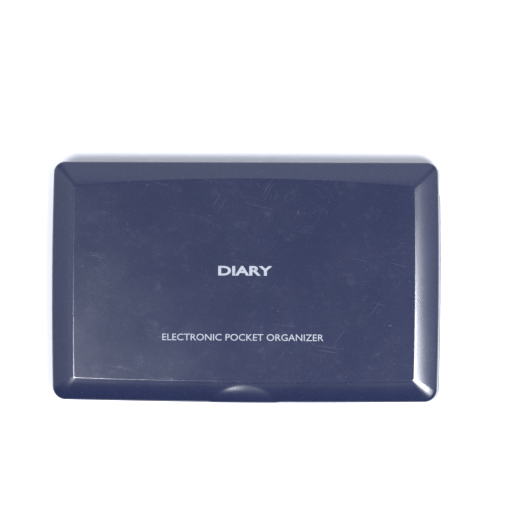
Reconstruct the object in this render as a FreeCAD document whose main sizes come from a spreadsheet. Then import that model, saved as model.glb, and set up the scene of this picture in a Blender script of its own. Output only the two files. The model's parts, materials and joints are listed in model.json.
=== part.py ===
# Pocket organiser that opens like a book: a base with a rubber keyboard, a lid with a
# display, and a hinge barrel along the rear edge. Millimetres, closed, +Z up, hinge
# towards +Y, origin on the ground under the middle of the closed case.
import FreeCAD, Part
import Sketcher
import math
import os

DIMENSIONS = {
    # closed case
    "body_width": 127.0,
    "body_depth": 78.5,
    "body_height": 14.0,
    "side_radius": 1400.0,
    "front_radius": 2850.0,
    "rear_radius": 30000.0,
    "corner_front": 4.3,
    "corner_rear": 3.8,
    "corner_least": 0.6,
    "wall": 1.3,
    "fit_gap": 0.15,
    # raised panel of the lid, the bevel round it and the thumb scoop
    "bevel_height": 2.6,
    "bevel_middle": 1.625,
    "panel_half_width": 55.7,
    "panel_front": 32.2,
    "panel_rear": 33.7,
    "panel_side_radius": 1700.0,
    "panel_front_radius": 1800.0,
    "panel_rear_radius": 600.0,
    "panel_corner": 1.0,
    "panel_inset": 0.6,
    "scoop_radius": 44.0,
    "scoop_tilt": 32.2,
    "scoop_bottom": 10.4,
    "scoop_reach": 20.0,
    # heights of the layers, from the ground up
    "foot_height": 0.4,
    "floor_top": 1.6,
    "base_bevel_top": 3.2,
    "base_bevel_inset": 3.2,
    "cavity_inset": 4.2,
    "board_bottom": 4.8,
    "board_top": 5.4,
    "sheet_top": 5.6,
    "bezel_bottom": 6.6,
    "base_top": 7.3,
    "lid_bottom": 7.5,
    "display_bezel_bottom": 8.25,
    "display_bezel_top": 9.25,
    "lid_cavity_edge": 10.6,
    "lid_ceiling": 12.7,
    # hinge
    "axis_height": 7.4,
    "hinge_zone": 8.0,
    "knuckle_radius": 3.85,
    "knuckle_inner_end": 49.8,
    "knuckle_outer_end": 63.3,
    "knuckle_inset": 0.25,
    "knuckle_bottom": 3.0,
    "barrel_radius": 3.7,
    "barrel_half_length": 49.5,
    "barrel_bore": 2.6,
    "barrel_bore_end": 46.0,
    "hood_edge": 10.4,
    "hood_clearance": 3.98,
    "pin_radius": 1.0,
    "pin_start": 46.2,
    "pin_end": 58.0,
    "bush_outer": 2.4,
    "bush_inner": 1.7,
    "bush_end": 51.5,
    "running_gap": 0.05,
    "neck_half_length": 49.2,
    "neck_front": 28.0,
    "neck_bottom": 5.2,
    "neck_top": 6.45,
    "rear_flange": 1.0,
    "flex_roll": 1.4,
    "flex_thickness": 0.25,
    "flex_base_left": -43.0,
    "flex_base_right": -33.0,
    "flex_base_front": 26.6,
    "flex_base_height": 5.9,
    "flex_lid_left": -57.5,
    "flex_lid_right": -53.5,
    "flex_tongue_right": -51.0,
    "flex_lid_height": 8.6,
    "flex_riser": 30.4,
    "flex_lid_front": 28.2,
    "flex_gap": 0.3,
    # keyboard
    "key_width": 8.6,
    "key_depth": 6.6,
    "key_corner": 1.1,
    "key_round": 0.4,
    "key_top": 8.0,
    "key_flange_bottom": 6.2,
    "key_flange_top": 6.5,
    "flange_margin": 0.5,
    "key_gap": 0.2,
    "column_pitch": 11.4,
    "row_pitch": 12.2,
    "first_column": -51.3,
    "first_row": 15.0,
    "keypad_half_width": 57.0,
    "keypad_front": -27.5,
    "keypad_rear": 20.5,
    # mode keys of the lid
    "mode_width": 13.0,
    "mode_depth": 5.0,
    "mode_bottom": 7.75,
    "mode_flange_bottom": 9.35,
    "mode_flange_top": 9.75,
    "mode_row": 23.5,
    "mode_pitch": 22.0,
    "mode_stem": 1.5,
    "mode_stem_top": 11.0,
    # display
    "window_width": 94.0,
    "window_depth": 40.0,
    "window_corner": 2.0,
    "window_bottom": 8.3,
    "window_top": 9.2,
    "window_centre": -6.0,
    "glass_half_width": 49.0,
    "glass_half_depth": 22.0,
    "glass_bottom": 9.3,
    "glass_top": 11.3,
    "display_board_half_width": 54.0,
    "display_board_front": -29.5,
    "display_board_rear": 29.0,
    "display_board_bottom": 11.6,
    "display_board_top": 12.2,
    # battery bay
    "cell_radius": 10.0,
    "cell_bottom": 1.5,
    "cell_top": 4.7,
    "cell_pitch": 22.0,
    "cell_row": -15.0,
    "contact_half_width": 2.5,
    "contact_half_length": 7.0,
    "door_half_width": 34.0,
    "door_half_depth": 12.0,
    "door_top": 1.4,
    "bay_wall": 0.9,
    # boards, fasteners, feet and small parts
    "board_half_width": 60.5,
    "board_front": -35.0,
    "board_rear": 27.5,
    "chip_bottom": 3.3,
    "chip_row": 14.0,
    "screw_x": 57.0,
    "screw_front": -32.0,
    "screw_rear": 25.0,
    "screw_radius": 0.85,
    "screw_hole": 0.9,
    "screw_bottom": 0.6,
    "screw_top": 6.2,
    "head_radius": 1.8,
    "head_gap": 0.1,
    "boss_radius": 2.4,
    "boss_bore": 1.0,
    "post_radius": 2.0,
    "lid_screw_radius": 0.7,
    "lid_screw_hole": 0.75,
    "lid_screw_top": 11.6,
    "lid_head_radius": 1.6,
    "lid_head_top": 8.95,
    "lid_boss_radius": 1.9,
    "lid_boss_bottom": 9.3,
    "foot_x": 47.0,
    "foot_front": -31.0,
    "foot_rear": 23.0,
    "foot_radius": 3.5,
    "foot_recess": 0.7,
    "jack_row": 8.9,
    "jack_height": 5.05,
    "jack_bore": 1.27,
    "jack_nose": 1.75,
    "jack_depth": 9.0,
    "jack_half_width": 2.1,
    "jack_bottom": 3.5,
    "jack_top": 6.5,
    "jack_body_start": 62.1,
    "jack_end": 52.4,
    "buzzer_x": 46.0,
    "buzzer_y": 4.0,
    "buzzer_radius": 7.0,
    "buzzer_bottom": 1.65,
    "buzzer_top": 2.1,
    "sound_hole": 0.5,
    "sound_pitch": 2.2,
    "reset_x": 44.0,
    "reset_y": -22.0,
    "reset_radius": 1.1,
    "reset_hole": 1.25,
    "reset_bottom": 0.6,
    "reset_flange": 1.8,
    "reset_flange_bottom": 1.7,
    "reset_top": 2.2,
}

LETTER_ROWS = ("qwertyuiop", "asdfghjkl", "zxcvbnm")
# Row, first column, columns and rows that each of the other keys covers.
OTHER_KEYS = {
    "delete": (1, 9, 1, 1),
    "left": (2, 7, 1, 1),
    "right": (2, 8, 1, 1),
    "enter": (2, 9, 1, 2),
    "on": (3, 0, 2, 1),
    "shift": (3, 2, 2, 1),
    "space": (3, 4, 5, 1),
}
MODE_KEYS = ("phone", "memo", "diary", "calculator")
SOUND_HOLES = ((0, 0), (1, 0), (-1, 0), (0, 1), (0, -1))
CHIPS = ((-28.0, 7.0, 7.0), (-6.0, 9.0, 5.0), (16.0, 5.0, 4.0))
SIDES = (-1, 1)


class Size:
    """A length that carries its value and the formula that binds it to the sheet."""

    def __init__(self, value, formula):
        self.value = value
        self.formula = formula

    def __add__(self, other):
        other = as_size(other)
        return Size(self.value + other.value, f"({self.formula} + {other.formula})")

    def __sub__(self, other):
        other = as_size(other)
        return Size(self.value - other.value, f"({self.formula} - {other.formula})")

    def __mul__(self, factor):
        factor = as_size(factor)
        return Size(self.value * factor.value, f"({self.formula} * {factor.formula})")

    def __truediv__(self, divisor):
        divisor = as_size(divisor)
        return Size(self.value / divisor.value, f"({self.formula} / {divisor.formula})")

    def __neg__(self):
        return Size(-self.value, f"(0 - {self.formula})")


def as_size(thing):
    """A plain number as a Size."""
    return thing if isinstance(thing, Size) else Size(float(thing), f"({thing})")


def larger(first, second):
    """The larger of two sizes."""
    return Size(max(first.value, second.value), f"max({first.formula}; {second.formula})")


def sine(angle):
    """The sine of an angle in degrees."""
    return Size(math.sin(math.radians(angle.value)), f"sin({angle.formula} * 1 deg)")


def cosine(angle):
    """The cosine of an angle in degrees."""
    return Size(math.cos(math.radians(angle.value)), f"cos({angle.formula} * 1 deg)")


class Sizes:
    """The driving dimensions of the sheet, read by name."""

    def __init__(self, cells):
        self.cells = cells

    def __getattr__(self, alias):
        return Size(float(getattr(self.cells, alias)), f"Dimensions.{alias}")


doc = FreeCAD.newDocument("PocketOrganiser")
sheet = doc.addObject("Spreadsheet::Sheet", "Dimensions")
for row, (alias, value) in enumerate(DIMENSIONS.items(), start=1):
    sheet.set(f"A{row}", alias)
    sheet.set(f"B{row}", str(value))
    sheet.setAlias(f"B{row}", alias)
doc.recompute()
d = Sizes(sheet)

HALF_WIDTH = d.body_width / 2
HALF_DEPTH = d.body_depth / 2
BASE_REAR = HALF_DEPTH - d.hinge_zone
AXIS_Y = HALF_DEPTH - d.knuckle_radius
nodes = {}


# ---- shared helpers ---------------------------------------------------------------


def bind(thing, target, size):
    """Binds one property of an object to a size."""
    thing.setExpression(target, as_size(size).formula)


def place(thing, *position):
    """Binds the position of an object's placement."""
    for axis, size in zip("xyz", position):
        bind(thing, f"Placement.Base.{axis}", size)


def keep(name, thing):
    """Names a finished sub-part, which becomes a node."""
    thing.Label = name
    nodes[name] = thing
    return thing


def box(name, x, y, z):
    """A block between pairs of sizes."""
    block = doc.addObject("Part::Box", name)
    spans = [(as_size(low), as_size(high)) for low, high in (x, y, z)]
    for side, (low, high) in zip(("Length", "Width", "Height"), spans):
        bind(block, side, high - low)
    place(block, *(low for low, high in spans))
    return block


def cylinder(name, radius, centre, span, along="z"):
    """A rod: centre lies across its axis and span is its pair of ends."""
    start, end = (as_size(end) for end in span)
    rod = doc.addObject("Part::Cylinder", name)
    bind(rod, "Radius", radius)
    bind(rod, "Height", end - start)
    if along == "x":
        rod.Placement.Rotation = FreeCAD.Rotation(FreeCAD.Vector(0, 1, 0), 90)
        place(rod, start, *centre)
    else:
        place(rod, *centre, start)
    return rod


def fuse(name, *things):
    """One object from several that touch or overlap."""
    joined = doc.addObject("Part::MultiFuse", name)
    joined.Shapes = list(things)
    joined.Refine = True
    return joined


def gather(name, *things):
    """Separate solids kept in one object."""
    together = doc.addObject("Part::Compound", name)
    together.Links = list(things)
    return together


def cut(name, base, *tools):
    """A solid less one or more tools."""
    result = doc.addObject("Part::Cut", name)
    result.Base = base
    result.Tool = tools[0] if len(tools) == 1 else gather(f"{name}_tools", *tools)
    result.Refine = True
    return result


def common(name, first, second):
    """What two solids share."""
    result = doc.addObject("Part::Common", name)
    result.Base = first
    result.Tool = second
    return result


def mirrored_pairs(front, rear, half_spacing):
    """The four points of a rectangle that is symmetric about the middle plane."""
    return [(half_spacing * side, y) for side in SIDES for y in (front, rear)]


# ---- sketches ---------------------------------------------------------------------


def new_sketch(body, name, height):
    """A sketch on the body's horizontal plane, raised to a height."""
    sketch = body.newObject("Sketcher::SketchObject", name)
    plane = next(f for f in body.Origin.OriginFeatures if f.Role == "XY_Plane")
    sketch.AttachmentSupport = [(plane, "")]
    sketch.MapMode = "FlatFace"
    bind(sketch, "AttachmentOffset.Base.z", height)
    return sketch


def constrain(sketch, size, *what):
    """Adds a driving dimension that follows a size."""
    index = sketch.addConstraint(Sketcher.Constraint(*what, size.value))
    bind(sketch, f"Constraints[{index}]", size)


def arc(centre, radius, start, end):
    """A counter-clockwise arc between two angles."""
    circle = Part.Circle(centre, FreeCAD.Vector(0, 0, 1), radius)
    return Part.ArcOfCircle(circle, start, end)


def close_tangent(sketch, count):
    """Joins each curve of a loop to the next without a kink."""
    for curve in range(count):
        sketch.addConstraint(Sketcher.Constraint("Tangent", curve, 2, (curve + 1) % count, 1))


def rounded_rectangle(sketch, width, depth, corner):
    """A rectangle with round corners about the sketch's origin."""
    radius = corner.value
    reach = (width.value / 2 - radius, depth.value / 2 - radius)
    for quarter, signs in enumerate(((1, -1), (1, 1), (-1, 1), (-1, -1))):
        start = (quarter - 1) * math.pi / 2
        centre = FreeCAD.Vector(signs[0] * reach[0], signs[1] * reach[1])
        before = (((-1, -1), (1, -1), (1, 1), (-1, 1))[quarter])
        previous = FreeCAD.Vector(before[0] * reach[0], before[1] * reach[1])
        outward = FreeCAD.Vector(radius * math.cos(start), radius * math.sin(start))
        sketch.addGeometry(Part.LineSegment(previous + outward, centre + outward), False)
        sketch.addGeometry(arc(centre, radius, start, start + math.pi / 2), False)
    close_tangent(sketch, 8)
    for line, direction in zip((0, 2, 4, 6), ("Horizontal", "Vertical") * 2):
        sketch.addConstraint(Sketcher.Constraint(direction, line))
    for other in (3, 5, 7):
        sketch.addConstraint(Sketcher.Constraint("Equal", 1, other))
    sketch.addConstraint(Sketcher.Constraint("Symmetric", 1, 3, 5, 3, -1, 1))
    constrain(sketch, corner, "Radius", 1)
    constrain(sketch, width, "DistanceX", 6, 1, 2, 1)
    constrain(sketch, depth, "DistanceY", 0, 1, 4, 1)


class Outline:
    """Four slightly bowed sides, centred on the axes, with round corners between them."""

    def __init__(self, half_width, front, rear, radii, corners):
        self.reach = (half_width, rear, half_width, front)
        self.radii = (radii[0], radii[2], radii[0], radii[1])
        self.corners = (corners[1], corners[1], corners[0], corners[0])

    def inset(self, distance):
        """The outline moved inwards by a distance."""
        moved = Outline.__new__(Outline)
        moved.reach = tuple(reach - distance for reach in self.reach)
        moved.radii = tuple(radius - distance for radius in self.radii)
        moved.corners = tuple(larger(corner - distance, d.corner_least) for corner in self.corners)
        return moved

    def middle(self, other):
        """The outline halfway to another one."""
        moved = Outline.__new__(Outline)
        for part in ("reach", "radii", "corners"):
            pairs = zip(getattr(self, part), getattr(other, part))
            setattr(moved, part, tuple((one + two) / 2 for one, two in pairs))
        return moved

    def centre(self, side):
        """The centre of one side's arc; sides run right, rear, left, front."""
        distance = self.reach[side % 4].value - self.radii[side % 4].value
        angle = side * math.pi / 2
        return FreeCAD.Vector(distance * math.cos(angle), distance * math.sin(angle))

    def corner_centre(self, side):
        """The centre of the round corner between a side and the next one."""
        radius = self.corners[side].value
        first, second = self.centre(side), self.centre(side + 1)
        reach_first = self.radii[side].value - radius
        reach_second = self.radii[(side + 1) % 4].value - radius
        between = second - first
        along = (reach_first**2 - reach_second**2 + between.Length**2) / (2 * between.Length)
        across = math.sqrt(reach_first**2 - along**2)
        unit = between / between.Length
        normal = FreeCAD.Vector(-unit.y, unit.x)
        diagonal = (side + 0.5) * math.pi / 2
        outward = FreeCAD.Vector(math.cos(diagonal), math.sin(diagonal))
        points = [first + unit * along + normal * across * sign for sign in SIDES]
        return max(points, key=lambda point: point.dot(outward))

    def draw(self, sketch):
        """Adds the outline to a sketch, every curve tangent to the next."""
        corners = [self.corner_centre(side) for side in range(4)]
        for side in range(4):
            centre = self.centre(side)
            start = (corners[side - 1] - centre)
            end = (corners[side] - centre)
            following = corners[side] - self.centre(side + 1)
            start_angle, end_angle = math.atan2(start.y, start.x), math.atan2(end.y, end.x)
            next_angle = math.atan2(following.y, following.x)
            sketch.addGeometry(arc(centre, self.radii[side].value, start_angle, end_angle), False)
            sketch.addGeometry(arc(corners[side], self.corners[side].value, end_angle, next_angle), False)
        close_tangent(sketch, 8)
        for side in range(4):
            curve = 2 * side
            offset = self.radii[side] - self.reach[side]
            centre, origin = (curve, 3), (-1, 1)
            order = centre + origin if side < 2 else origin + centre
            constrain(sketch, self.radii[side], "Radius", curve)
            constrain(sketch, self.corners[side], "Radius", curve + 1)
            constrain(sketch, offset, ("DistanceX", "DistanceY")[side % 2], *order)
            sketch.addConstraint(Sketcher.Constraint("PointOnObject", curve, 3, (-1, -2)[side % 2]))


CORNERS = (d.corner_front, d.corner_rear)
CASE_RADII = (d.side_radius, d.front_radius, d.rear_radius)
PANEL_RADII = (d.panel_side_radius, d.panel_front_radius, d.panel_rear_radius)
LID_OUTLINE = Outline(HALF_WIDTH, HALF_DEPTH, HALF_DEPTH, CASE_RADII, CORNERS)
BASE_OUTLINE = Outline(HALF_WIDTH, HALF_DEPTH, BASE_REAR, CASE_RADII, (d.corner_front, d.panel_corner))
PANEL_OUTLINE = Outline(d.panel_half_width, d.panel_front, d.panel_rear, PANEL_RADII,
                        (d.panel_corner, d.panel_corner))


# ---- PartDesign features ----------------------------------------------------------


def add_pad(body, name, sketch, length):
    """Raises a sketch into a solid."""
    pad = body.newObject("PartDesign::Pad", name)
    pad.Profile = sketch
    bind(pad, "Length", length)
    return pad


def outline_sketch(body, name, outline, height):
    """One horizontal section of a case shape."""
    sketch = new_sketch(body, name, height)
    outline.draw(sketch)
    return sketch


def outline_slab(name, outline, bottom, top):
    """A body of one outline between two heights."""
    body = doc.addObject("PartDesign::Body", name)
    sketch = outline_sketch(body, f"{name}_outline", outline, bottom)
    add_pad(body, f"{name}_slab", sketch, top - bottom)
    return body


def add_loft(body, name, sections):
    """A loft through horizontal outlines, each given with its height."""
    sketches = [outline_sketch(body, f"{name}_{index}", outline, height)
                for index, (outline, height) in enumerate(sections)]
    loft = body.newObject("PartDesign::AdditiveLoft", name)
    loft.Profile = (sketches[0], [""])
    loft.Sections = [(sketch, [""]) for sketch in sketches[1:]]
    loft.Ruled = True
    return loft


def rounded_block(name, width, depth, corner, bottom, top):
    """A body of one rounded rectangle between two heights."""
    body = doc.addObject("PartDesign::Body", name)
    sketch = new_sketch(body, f"{name}_outline", bottom)
    rounded_rectangle(sketch, width, depth, corner)
    add_pad(body, f"{name}_slab", sketch, top - bottom)
    return body


# ---- base -------------------------------------------------------------------------


def key_places():
    """Name, centre and size of every key of the base."""
    cells = {letter: (row, column, 1, 1)
             for row, letters in enumerate(LETTER_ROWS)
             for column, letter in enumerate(letters)}
    cells.update(OTHER_KEYS)
    for name, (row, column, columns, rows) in cells.items():
        x = d.first_column + d.column_pitch * (column + (columns - 1) / 2)
        y = d.first_row - d.row_pitch * (row + (rows - 1) / 2)
        width = d.key_width + d.column_pitch * (columns - 1)
        depth = d.key_depth + d.row_pitch * (rows - 1)
        yield name, x, y, width, depth


def base_screw_points():
    """Where the four case screws stand."""
    return mirrored_pairs(d.screw_front, d.screw_rear, d.screw_x)


def make_case_openings():
    """Everything that is cut out of the bottom case."""
    ground, inside = 0, d.floor_top + d.fit_gap
    door_x, door_y = d.door_half_width + d.fit_gap, d.door_half_depth + d.fit_gap
    openings = [box("door_opening", (-door_x, door_x), (d.cell_row - door_y, d.cell_row + door_y),
                    (ground, d.board_bottom))]
    for number, (x, y) in enumerate(base_screw_points()):
        recess = (ground, d.floor_top)
        openings.append(cylinder(f"head_recess_{number}", d.head_radius + d.head_gap, (x, y), recess))
        openings.append(cylinder(f"boss_bore_{number}", d.boss_bore, (x, y), (ground, d.board_top)))
    for number, (x, y) in enumerate(mirrored_pairs(d.foot_front, d.foot_rear, d.foot_x)):
        openings.append(cylinder(f"foot_recess_{number}", d.foot_radius, (x, y), (ground, d.foot_recess)))
    for number, (right, forward) in enumerate(SOUND_HOLES):
        centre = (d.buzzer_x + d.sound_pitch * right, d.buzzer_y + d.sound_pitch * forward)
        openings.append(cylinder(f"sound_hole_{number}", d.sound_hole, centre, (ground, inside)))
    openings.append(cylinder("reset_hole", d.reset_hole, (d.reset_x, d.reset_y), (ground, inside)))
    openings.append(cylinder("jack_hole", d.jack_nose + d.running_gap, (d.jack_row, d.jack_height),
                             (-HALF_WIDTH - d.wall, -d.jack_body_start), "x"))
    openings.append(box("neck_opening", (-d.barrel_half_length, d.barrel_half_length),
                        (BASE_REAR - d.wall - d.fit_gap, HALF_DEPTH),
                        (d.neck_bottom - d.head_gap, d.axis_height)))
    return openings


def make_bottom_case():
    """The tray: bevelled below, hollow, with screw bosses and walls round the battery bay."""
    outer = doc.addObject("PartDesign::Body", "tray_outer")
    add_loft(outer, "tray_bevel", ((BASE_OUTLINE.inset(d.base_bevel_inset), d.foot_height),
                                   (BASE_OUTLINE, d.base_bevel_top)))
    rim = outline_sketch(outer, "tray_rim", BASE_OUTLINE, d.base_bevel_top)
    add_pad(outer, "tray_walls", rim, d.base_top - d.base_bevel_top)
    hollow = doc.addObject("PartDesign::Body", "tray_hollow")
    inner = BASE_OUTLINE.inset(d.wall)
    add_loft(hollow, "hollow_bevel", ((BASE_OUTLINE.inset(d.cavity_inset), d.floor_top),
                                      (inner, d.base_bevel_top)))
    mouth = outline_sketch(hollow, "hollow_mouth", inner, d.base_bevel_top)
    add_pad(hollow, "hollow_walls", mouth, d.body_height - d.base_bevel_top)
    bosses = [cylinder(f"boss_{number}", d.boss_radius, point, (d.foot_height, d.board_bottom - d.running_gap))
              for number, point in enumerate(base_screw_points())]
    bay_x = d.door_half_width + d.fit_gap + d.bay_wall
    bay_y = d.door_half_depth + d.fit_gap + d.bay_wall
    bay = box("bay_walls", (-bay_x, bay_x), (d.cell_row - bay_y, d.cell_row + bay_y),
              (d.foot_height, d.cell_top))
    tray = fuse("tray", cut("tray_shell", outer, hollow), bay, *bosses)
    keep("bottom_case", cut("case_cut", tray, *make_case_openings()))


def make_battery_door():
    """The lift-off door, flush with the underside."""
    door = rounded_block("door", d.door_half_width * 2, d.door_half_depth * 2, d.corner_least,
                         d.foot_height, d.door_top)
    place(door, 0, d.cell_row, 0)
    keep("battery_door", door)


def make_cells():
    """Two main cells, a backup cell and the contact plate above each."""
    def cell(name, column):
        return cylinder(name, d.cell_radius, (d.cell_pitch * column, d.cell_row), (d.cell_bottom, d.cell_top))

    def contact(column):
        middle = d.cell_pitch * column
        return box(f"contact_{column + 1}", (middle - d.contact_half_width, middle + d.contact_half_width),
                   (d.cell_row - d.contact_half_length, d.cell_row + d.contact_half_length),
                   (d.cell_top, d.board_bottom))

    keep("main_cells", gather("main_pair", cell("cell_left", -1), cell("cell_middle", 0)))
    keep("backup_cell", cell("cell_right", 1))
    keep("cell_contacts", gather("contacts", *(contact(column) for column in (-1, 0, 1))))


def make_main_board():
    """The keyboard's board, its chips and the contact sheet on top."""
    jack_x = (-HALF_WIDTH, -d.jack_end + d.fit_gap)
    jack_y = (d.jack_row - d.jack_half_width - d.head_gap, d.jack_row + d.jack_half_width + d.head_gap)
    board = box("board_blank", (-d.board_half_width, d.board_half_width), (d.board_front, d.board_rear),
                (d.board_bottom, d.board_top))
    holes = [cylinder(f"board_hole_{number}", d.boss_bore, point, (d.board_bottom, d.sheet_top))
             for number, point in enumerate(base_screw_points())]
    notch = box("board_notch", jack_x, jack_y, (d.board_bottom, d.sheet_top))
    keep("main_board", cut("board_cut", board, notch, *holes))
    chips = [box(f"chip_{number}", (x - half_width, x + half_width),
                 (d.chip_row - half_depth, d.chip_row + half_depth), (d.chip_bottom, d.board_bottom))
             for number, (x, half_width, half_depth) in enumerate(CHIPS)]
    keep("board_chips", gather("chips", *chips))
    blank = box("sheet_blank", (-d.keypad_half_width, d.keypad_half_width), (d.keypad_front, d.keypad_rear),
                (d.board_top, d.sheet_top))
    sheet_notch = box("sheet_notch", jack_x, jack_y, (d.board_top, d.sheet_top))
    keep("keypad_sheet", cut("sheet_cut", blank, sheet_notch))


def make_keyboard_bezel():
    """The plate round the keys, with a post for each case screw."""
    plate = outline_slab("keyboard_plate", BASE_OUTLINE.inset(d.wall + d.fit_gap), d.bezel_bottom, d.base_top)
    tongue = box("bezel_tongue", (-d.neck_half_length, d.neck_half_length),
                 (BASE_REAR - d.wall - d.corner_rear, BASE_REAR), (d.bezel_bottom, d.base_top))
    posts = [cylinder(f"post_{number}", d.post_radius, point, (d.board_top + d.running_gap, d.base_top))
             for number, point in enumerate(base_screw_points())]
    holes = [cylinder(f"post_hole_{number}", d.screw_hole, point,
                      (d.board_top, d.screw_top + d.running_gap))
             for number, point in enumerate(base_screw_points())]
    openings = []
    for name, x, y, width, depth in key_places():
        opening = rounded_block(f"opening_{name}", width + d.key_gap * 2, depth + d.key_gap * 2,
                                d.key_corner + d.key_gap, d.bezel_bottom, d.key_top)
        place(opening, x, y, 0)
        openings.append(opening)
    keep("keyboard_bezel", cut("bezel_cut", fuse("bezel_blank", plate, tongue, *posts), *openings, *holes))


def make_key(name, x, y, width, depth):
    """One rubber key: a flange under the bezel and a cap through it."""
    body = doc.addObject("PartDesign::Body", f"rubber_{name}")
    foot = new_sketch(body, f"flange_{name}", d.key_flange_bottom)
    rounded_rectangle(foot, width + d.flange_margin * 2, depth + d.flange_margin * 2, d.key_corner)
    add_pad(body, f"flange_slab_{name}", foot, d.key_flange_top - d.key_flange_bottom)
    top = new_sketch(body, f"cap_{name}", d.key_flange_top)
    rounded_rectangle(top, width, depth, d.key_corner)
    cap = add_pad(body, f"cap_slab_{name}", top, d.key_top - d.key_flange_top)
    doc.recompute()
    highest = d.key_top.value - d.running_gap.value
    edges = [f"Edge{index}" for index, edge in enumerate(cap.Shape.Edges, start=1)
             if min(vertex.Z for vertex in edge.Vertexes) > highest]
    soft = body.newObject("PartDesign::Fillet", f"soft_{name}")
    soft.Base = (cap, edges)
    bind(soft, "Radius", d.key_round)
    place(body, x, y, 0)
    keep(f"key_{name}", body)


def make_hinge_barrel():
    """The base's half of the hinge: a hollow barrel on a neck that clips into the case."""
    centre = (AXIS_Y, d.axis_height)
    length = (-d.barrel_half_length, d.barrel_half_length)
    barrel = cylinder("barrel_tube", d.barrel_radius, centre, length, "x")
    neck = box("barrel_neck", (-d.neck_half_length, d.neck_half_length), (d.neck_front, AXIS_Y),
               (d.neck_bottom, d.neck_top))
    hollow = cylinder("barrel_hollow", d.barrel_bore, centre, (-d.barrel_bore_end, d.barrel_bore_end), "x")
    pin_bore = cylinder("barrel_pin_bore", d.pin_radius + d.running_gap, centre,
                        (0, d.barrel_half_length), "x")
    bush_bore = cylinder("barrel_bush_bore", d.bush_outer + d.running_gap, centre,
                         (-d.barrel_half_length, 0), "x")
    slot = box("flex_slot", (d.flex_base_left - d.flex_gap, d.flex_base_right + d.flex_gap),
               (d.neck_front, AXIS_Y), (d.flex_base_height - d.key_gap, d.bezel_bottom))
    keep("hinge_barrel", cut("barrel_cut", fuse("barrel_blank", barrel, neck), hollow, pin_bore,
                             bush_bore, slot))


def make_hinge_pins():
    """The steel pin on the right and the hollow bush on the left."""
    centre = (AXIS_Y, d.axis_height)
    pin = cylinder("pin_rod", d.pin_radius, centre, (d.pin_start, d.pin_end), "x")
    sleeve = (-d.bush_end, -d.pin_start)
    bush = cut("bush", cylinder("bush_rod", d.bush_outer, centre, sleeve, "x"),
               cylinder("bush_bore", d.bush_inner, centre, sleeve, "x"))
    keep("hinge_pins", gather("pin_pair", pin, bush))


def make_hinge_flex():
    """The printed ribbon, rolled on the hinge axis, that joins the two boards."""
    centre = (AXIS_Y, d.axis_height)
    roll = cylinder("flex_roll_outer", d.flex_roll, centre, (d.flex_lid_left, d.flex_base_right), "x")
    core = cylinder("flex_roll_core", d.flex_roll - d.flex_thickness, centre,
                    (d.flex_lid_left, d.flex_base_right), "x")
    base_x = (d.flex_base_left, d.flex_base_right)
    base_z = (d.flex_base_height, d.flex_base_height + d.flex_thickness)
    lid_x = (d.flex_lid_left, d.flex_lid_right)
    lid_z = (d.flex_lid_height, d.flex_lid_height + d.flex_thickness)
    riser_y = (d.flex_riser, d.flex_riser + d.flex_thickness)
    base_tail = box("flex_base_tail", base_x, (d.flex_base_front, AXIS_Y), base_z)
    base_step = box("flex_base_step", base_x, (d.flex_base_front, d.flex_base_front + d.flex_thickness),
                    (d.board_top, d.flex_base_height))
    lid_tail = box("flex_lid_tail", lid_x, (d.flex_riser, AXIS_Y), lid_z)
    riser = box("flex_riser_strip", lid_x, riser_y, (d.flex_lid_height, d.display_board_bottom))
    tongue = box("flex_tongue", (d.flex_lid_left, d.flex_tongue_right),
                 (d.flex_lid_front, d.flex_riser + d.flex_thickness),
                 (d.display_board_bottom - d.flex_thickness, d.display_board_bottom))
    ribbon = fuse("flex_ribbon", roll, base_tail, base_step, lid_tail, riser, tongue)
    keep("hinge_flex", cut("flex_cut", ribbon, core))


def make_case_screws():
    """Four screws up through the bottom case into the bezel's posts."""
    screws = []
    for number, point in enumerate(base_screw_points()):
        head = cylinder(f"screw_head_{number}", d.head_radius, point, (d.screw_bottom, d.floor_top))
        shank = cylinder(f"screw_shank_{number}", d.screw_radius, point, (d.screw_bottom, d.screw_top))
        screws.append(fuse(f"screw_{number}", head, shank))
    keep("case_screws", gather("screw_set", *screws))


def make_small_parts():
    """Feet, buzzer, reset button and the data jack."""
    feet = [cylinder(f"foot_{number}", d.foot_radius, point, (0, d.foot_recess))
            for number, point in enumerate(mirrored_pairs(d.foot_front, d.foot_rear, d.foot_x))]
    keep("rubber_feet", gather("feet", *feet))
    keep("buzzer", cylinder("buzzer_disc", d.buzzer_radius, (d.buzzer_x, d.buzzer_y),
                            (d.buzzer_bottom, d.buzzer_top)))
    reset = (d.reset_x, d.reset_y)
    stem = cylinder("reset_stem", d.reset_radius, reset, (d.reset_bottom, d.reset_top))
    collar = cylinder("reset_collar", d.reset_flange, reset, (d.reset_flange_bottom, d.reset_top))
    keep("reset_button", fuse("reset_fused", stem, collar))
    centre = (d.jack_row, d.jack_height)
    housing = box("jack_housing", (-d.jack_body_start, -d.jack_end),
                  (d.jack_row - d.jack_half_width, d.jack_row + d.jack_half_width), (d.jack_bottom, d.jack_top))
    nose = cylinder("jack_nose_rod", d.jack_nose, centre, (-HALF_WIDTH + d.fit_gap, -d.jack_body_start), "x")
    bore = cylinder("jack_bore_rod", d.jack_bore, centre,
                    (-HALF_WIDTH, -HALF_WIDTH + d.fit_gap + d.jack_depth), "x")
    keep("data_jack", cut("jack_cut", fuse("jack_blank", housing, nose), bore))


# ---- lid --------------------------------------------------------------------------


def lid_screw_points():
    """Where the four display bezel screws stand."""
    return mirrored_pairs(d.screw_front, d.screw_rear, d.screw_x)


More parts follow.
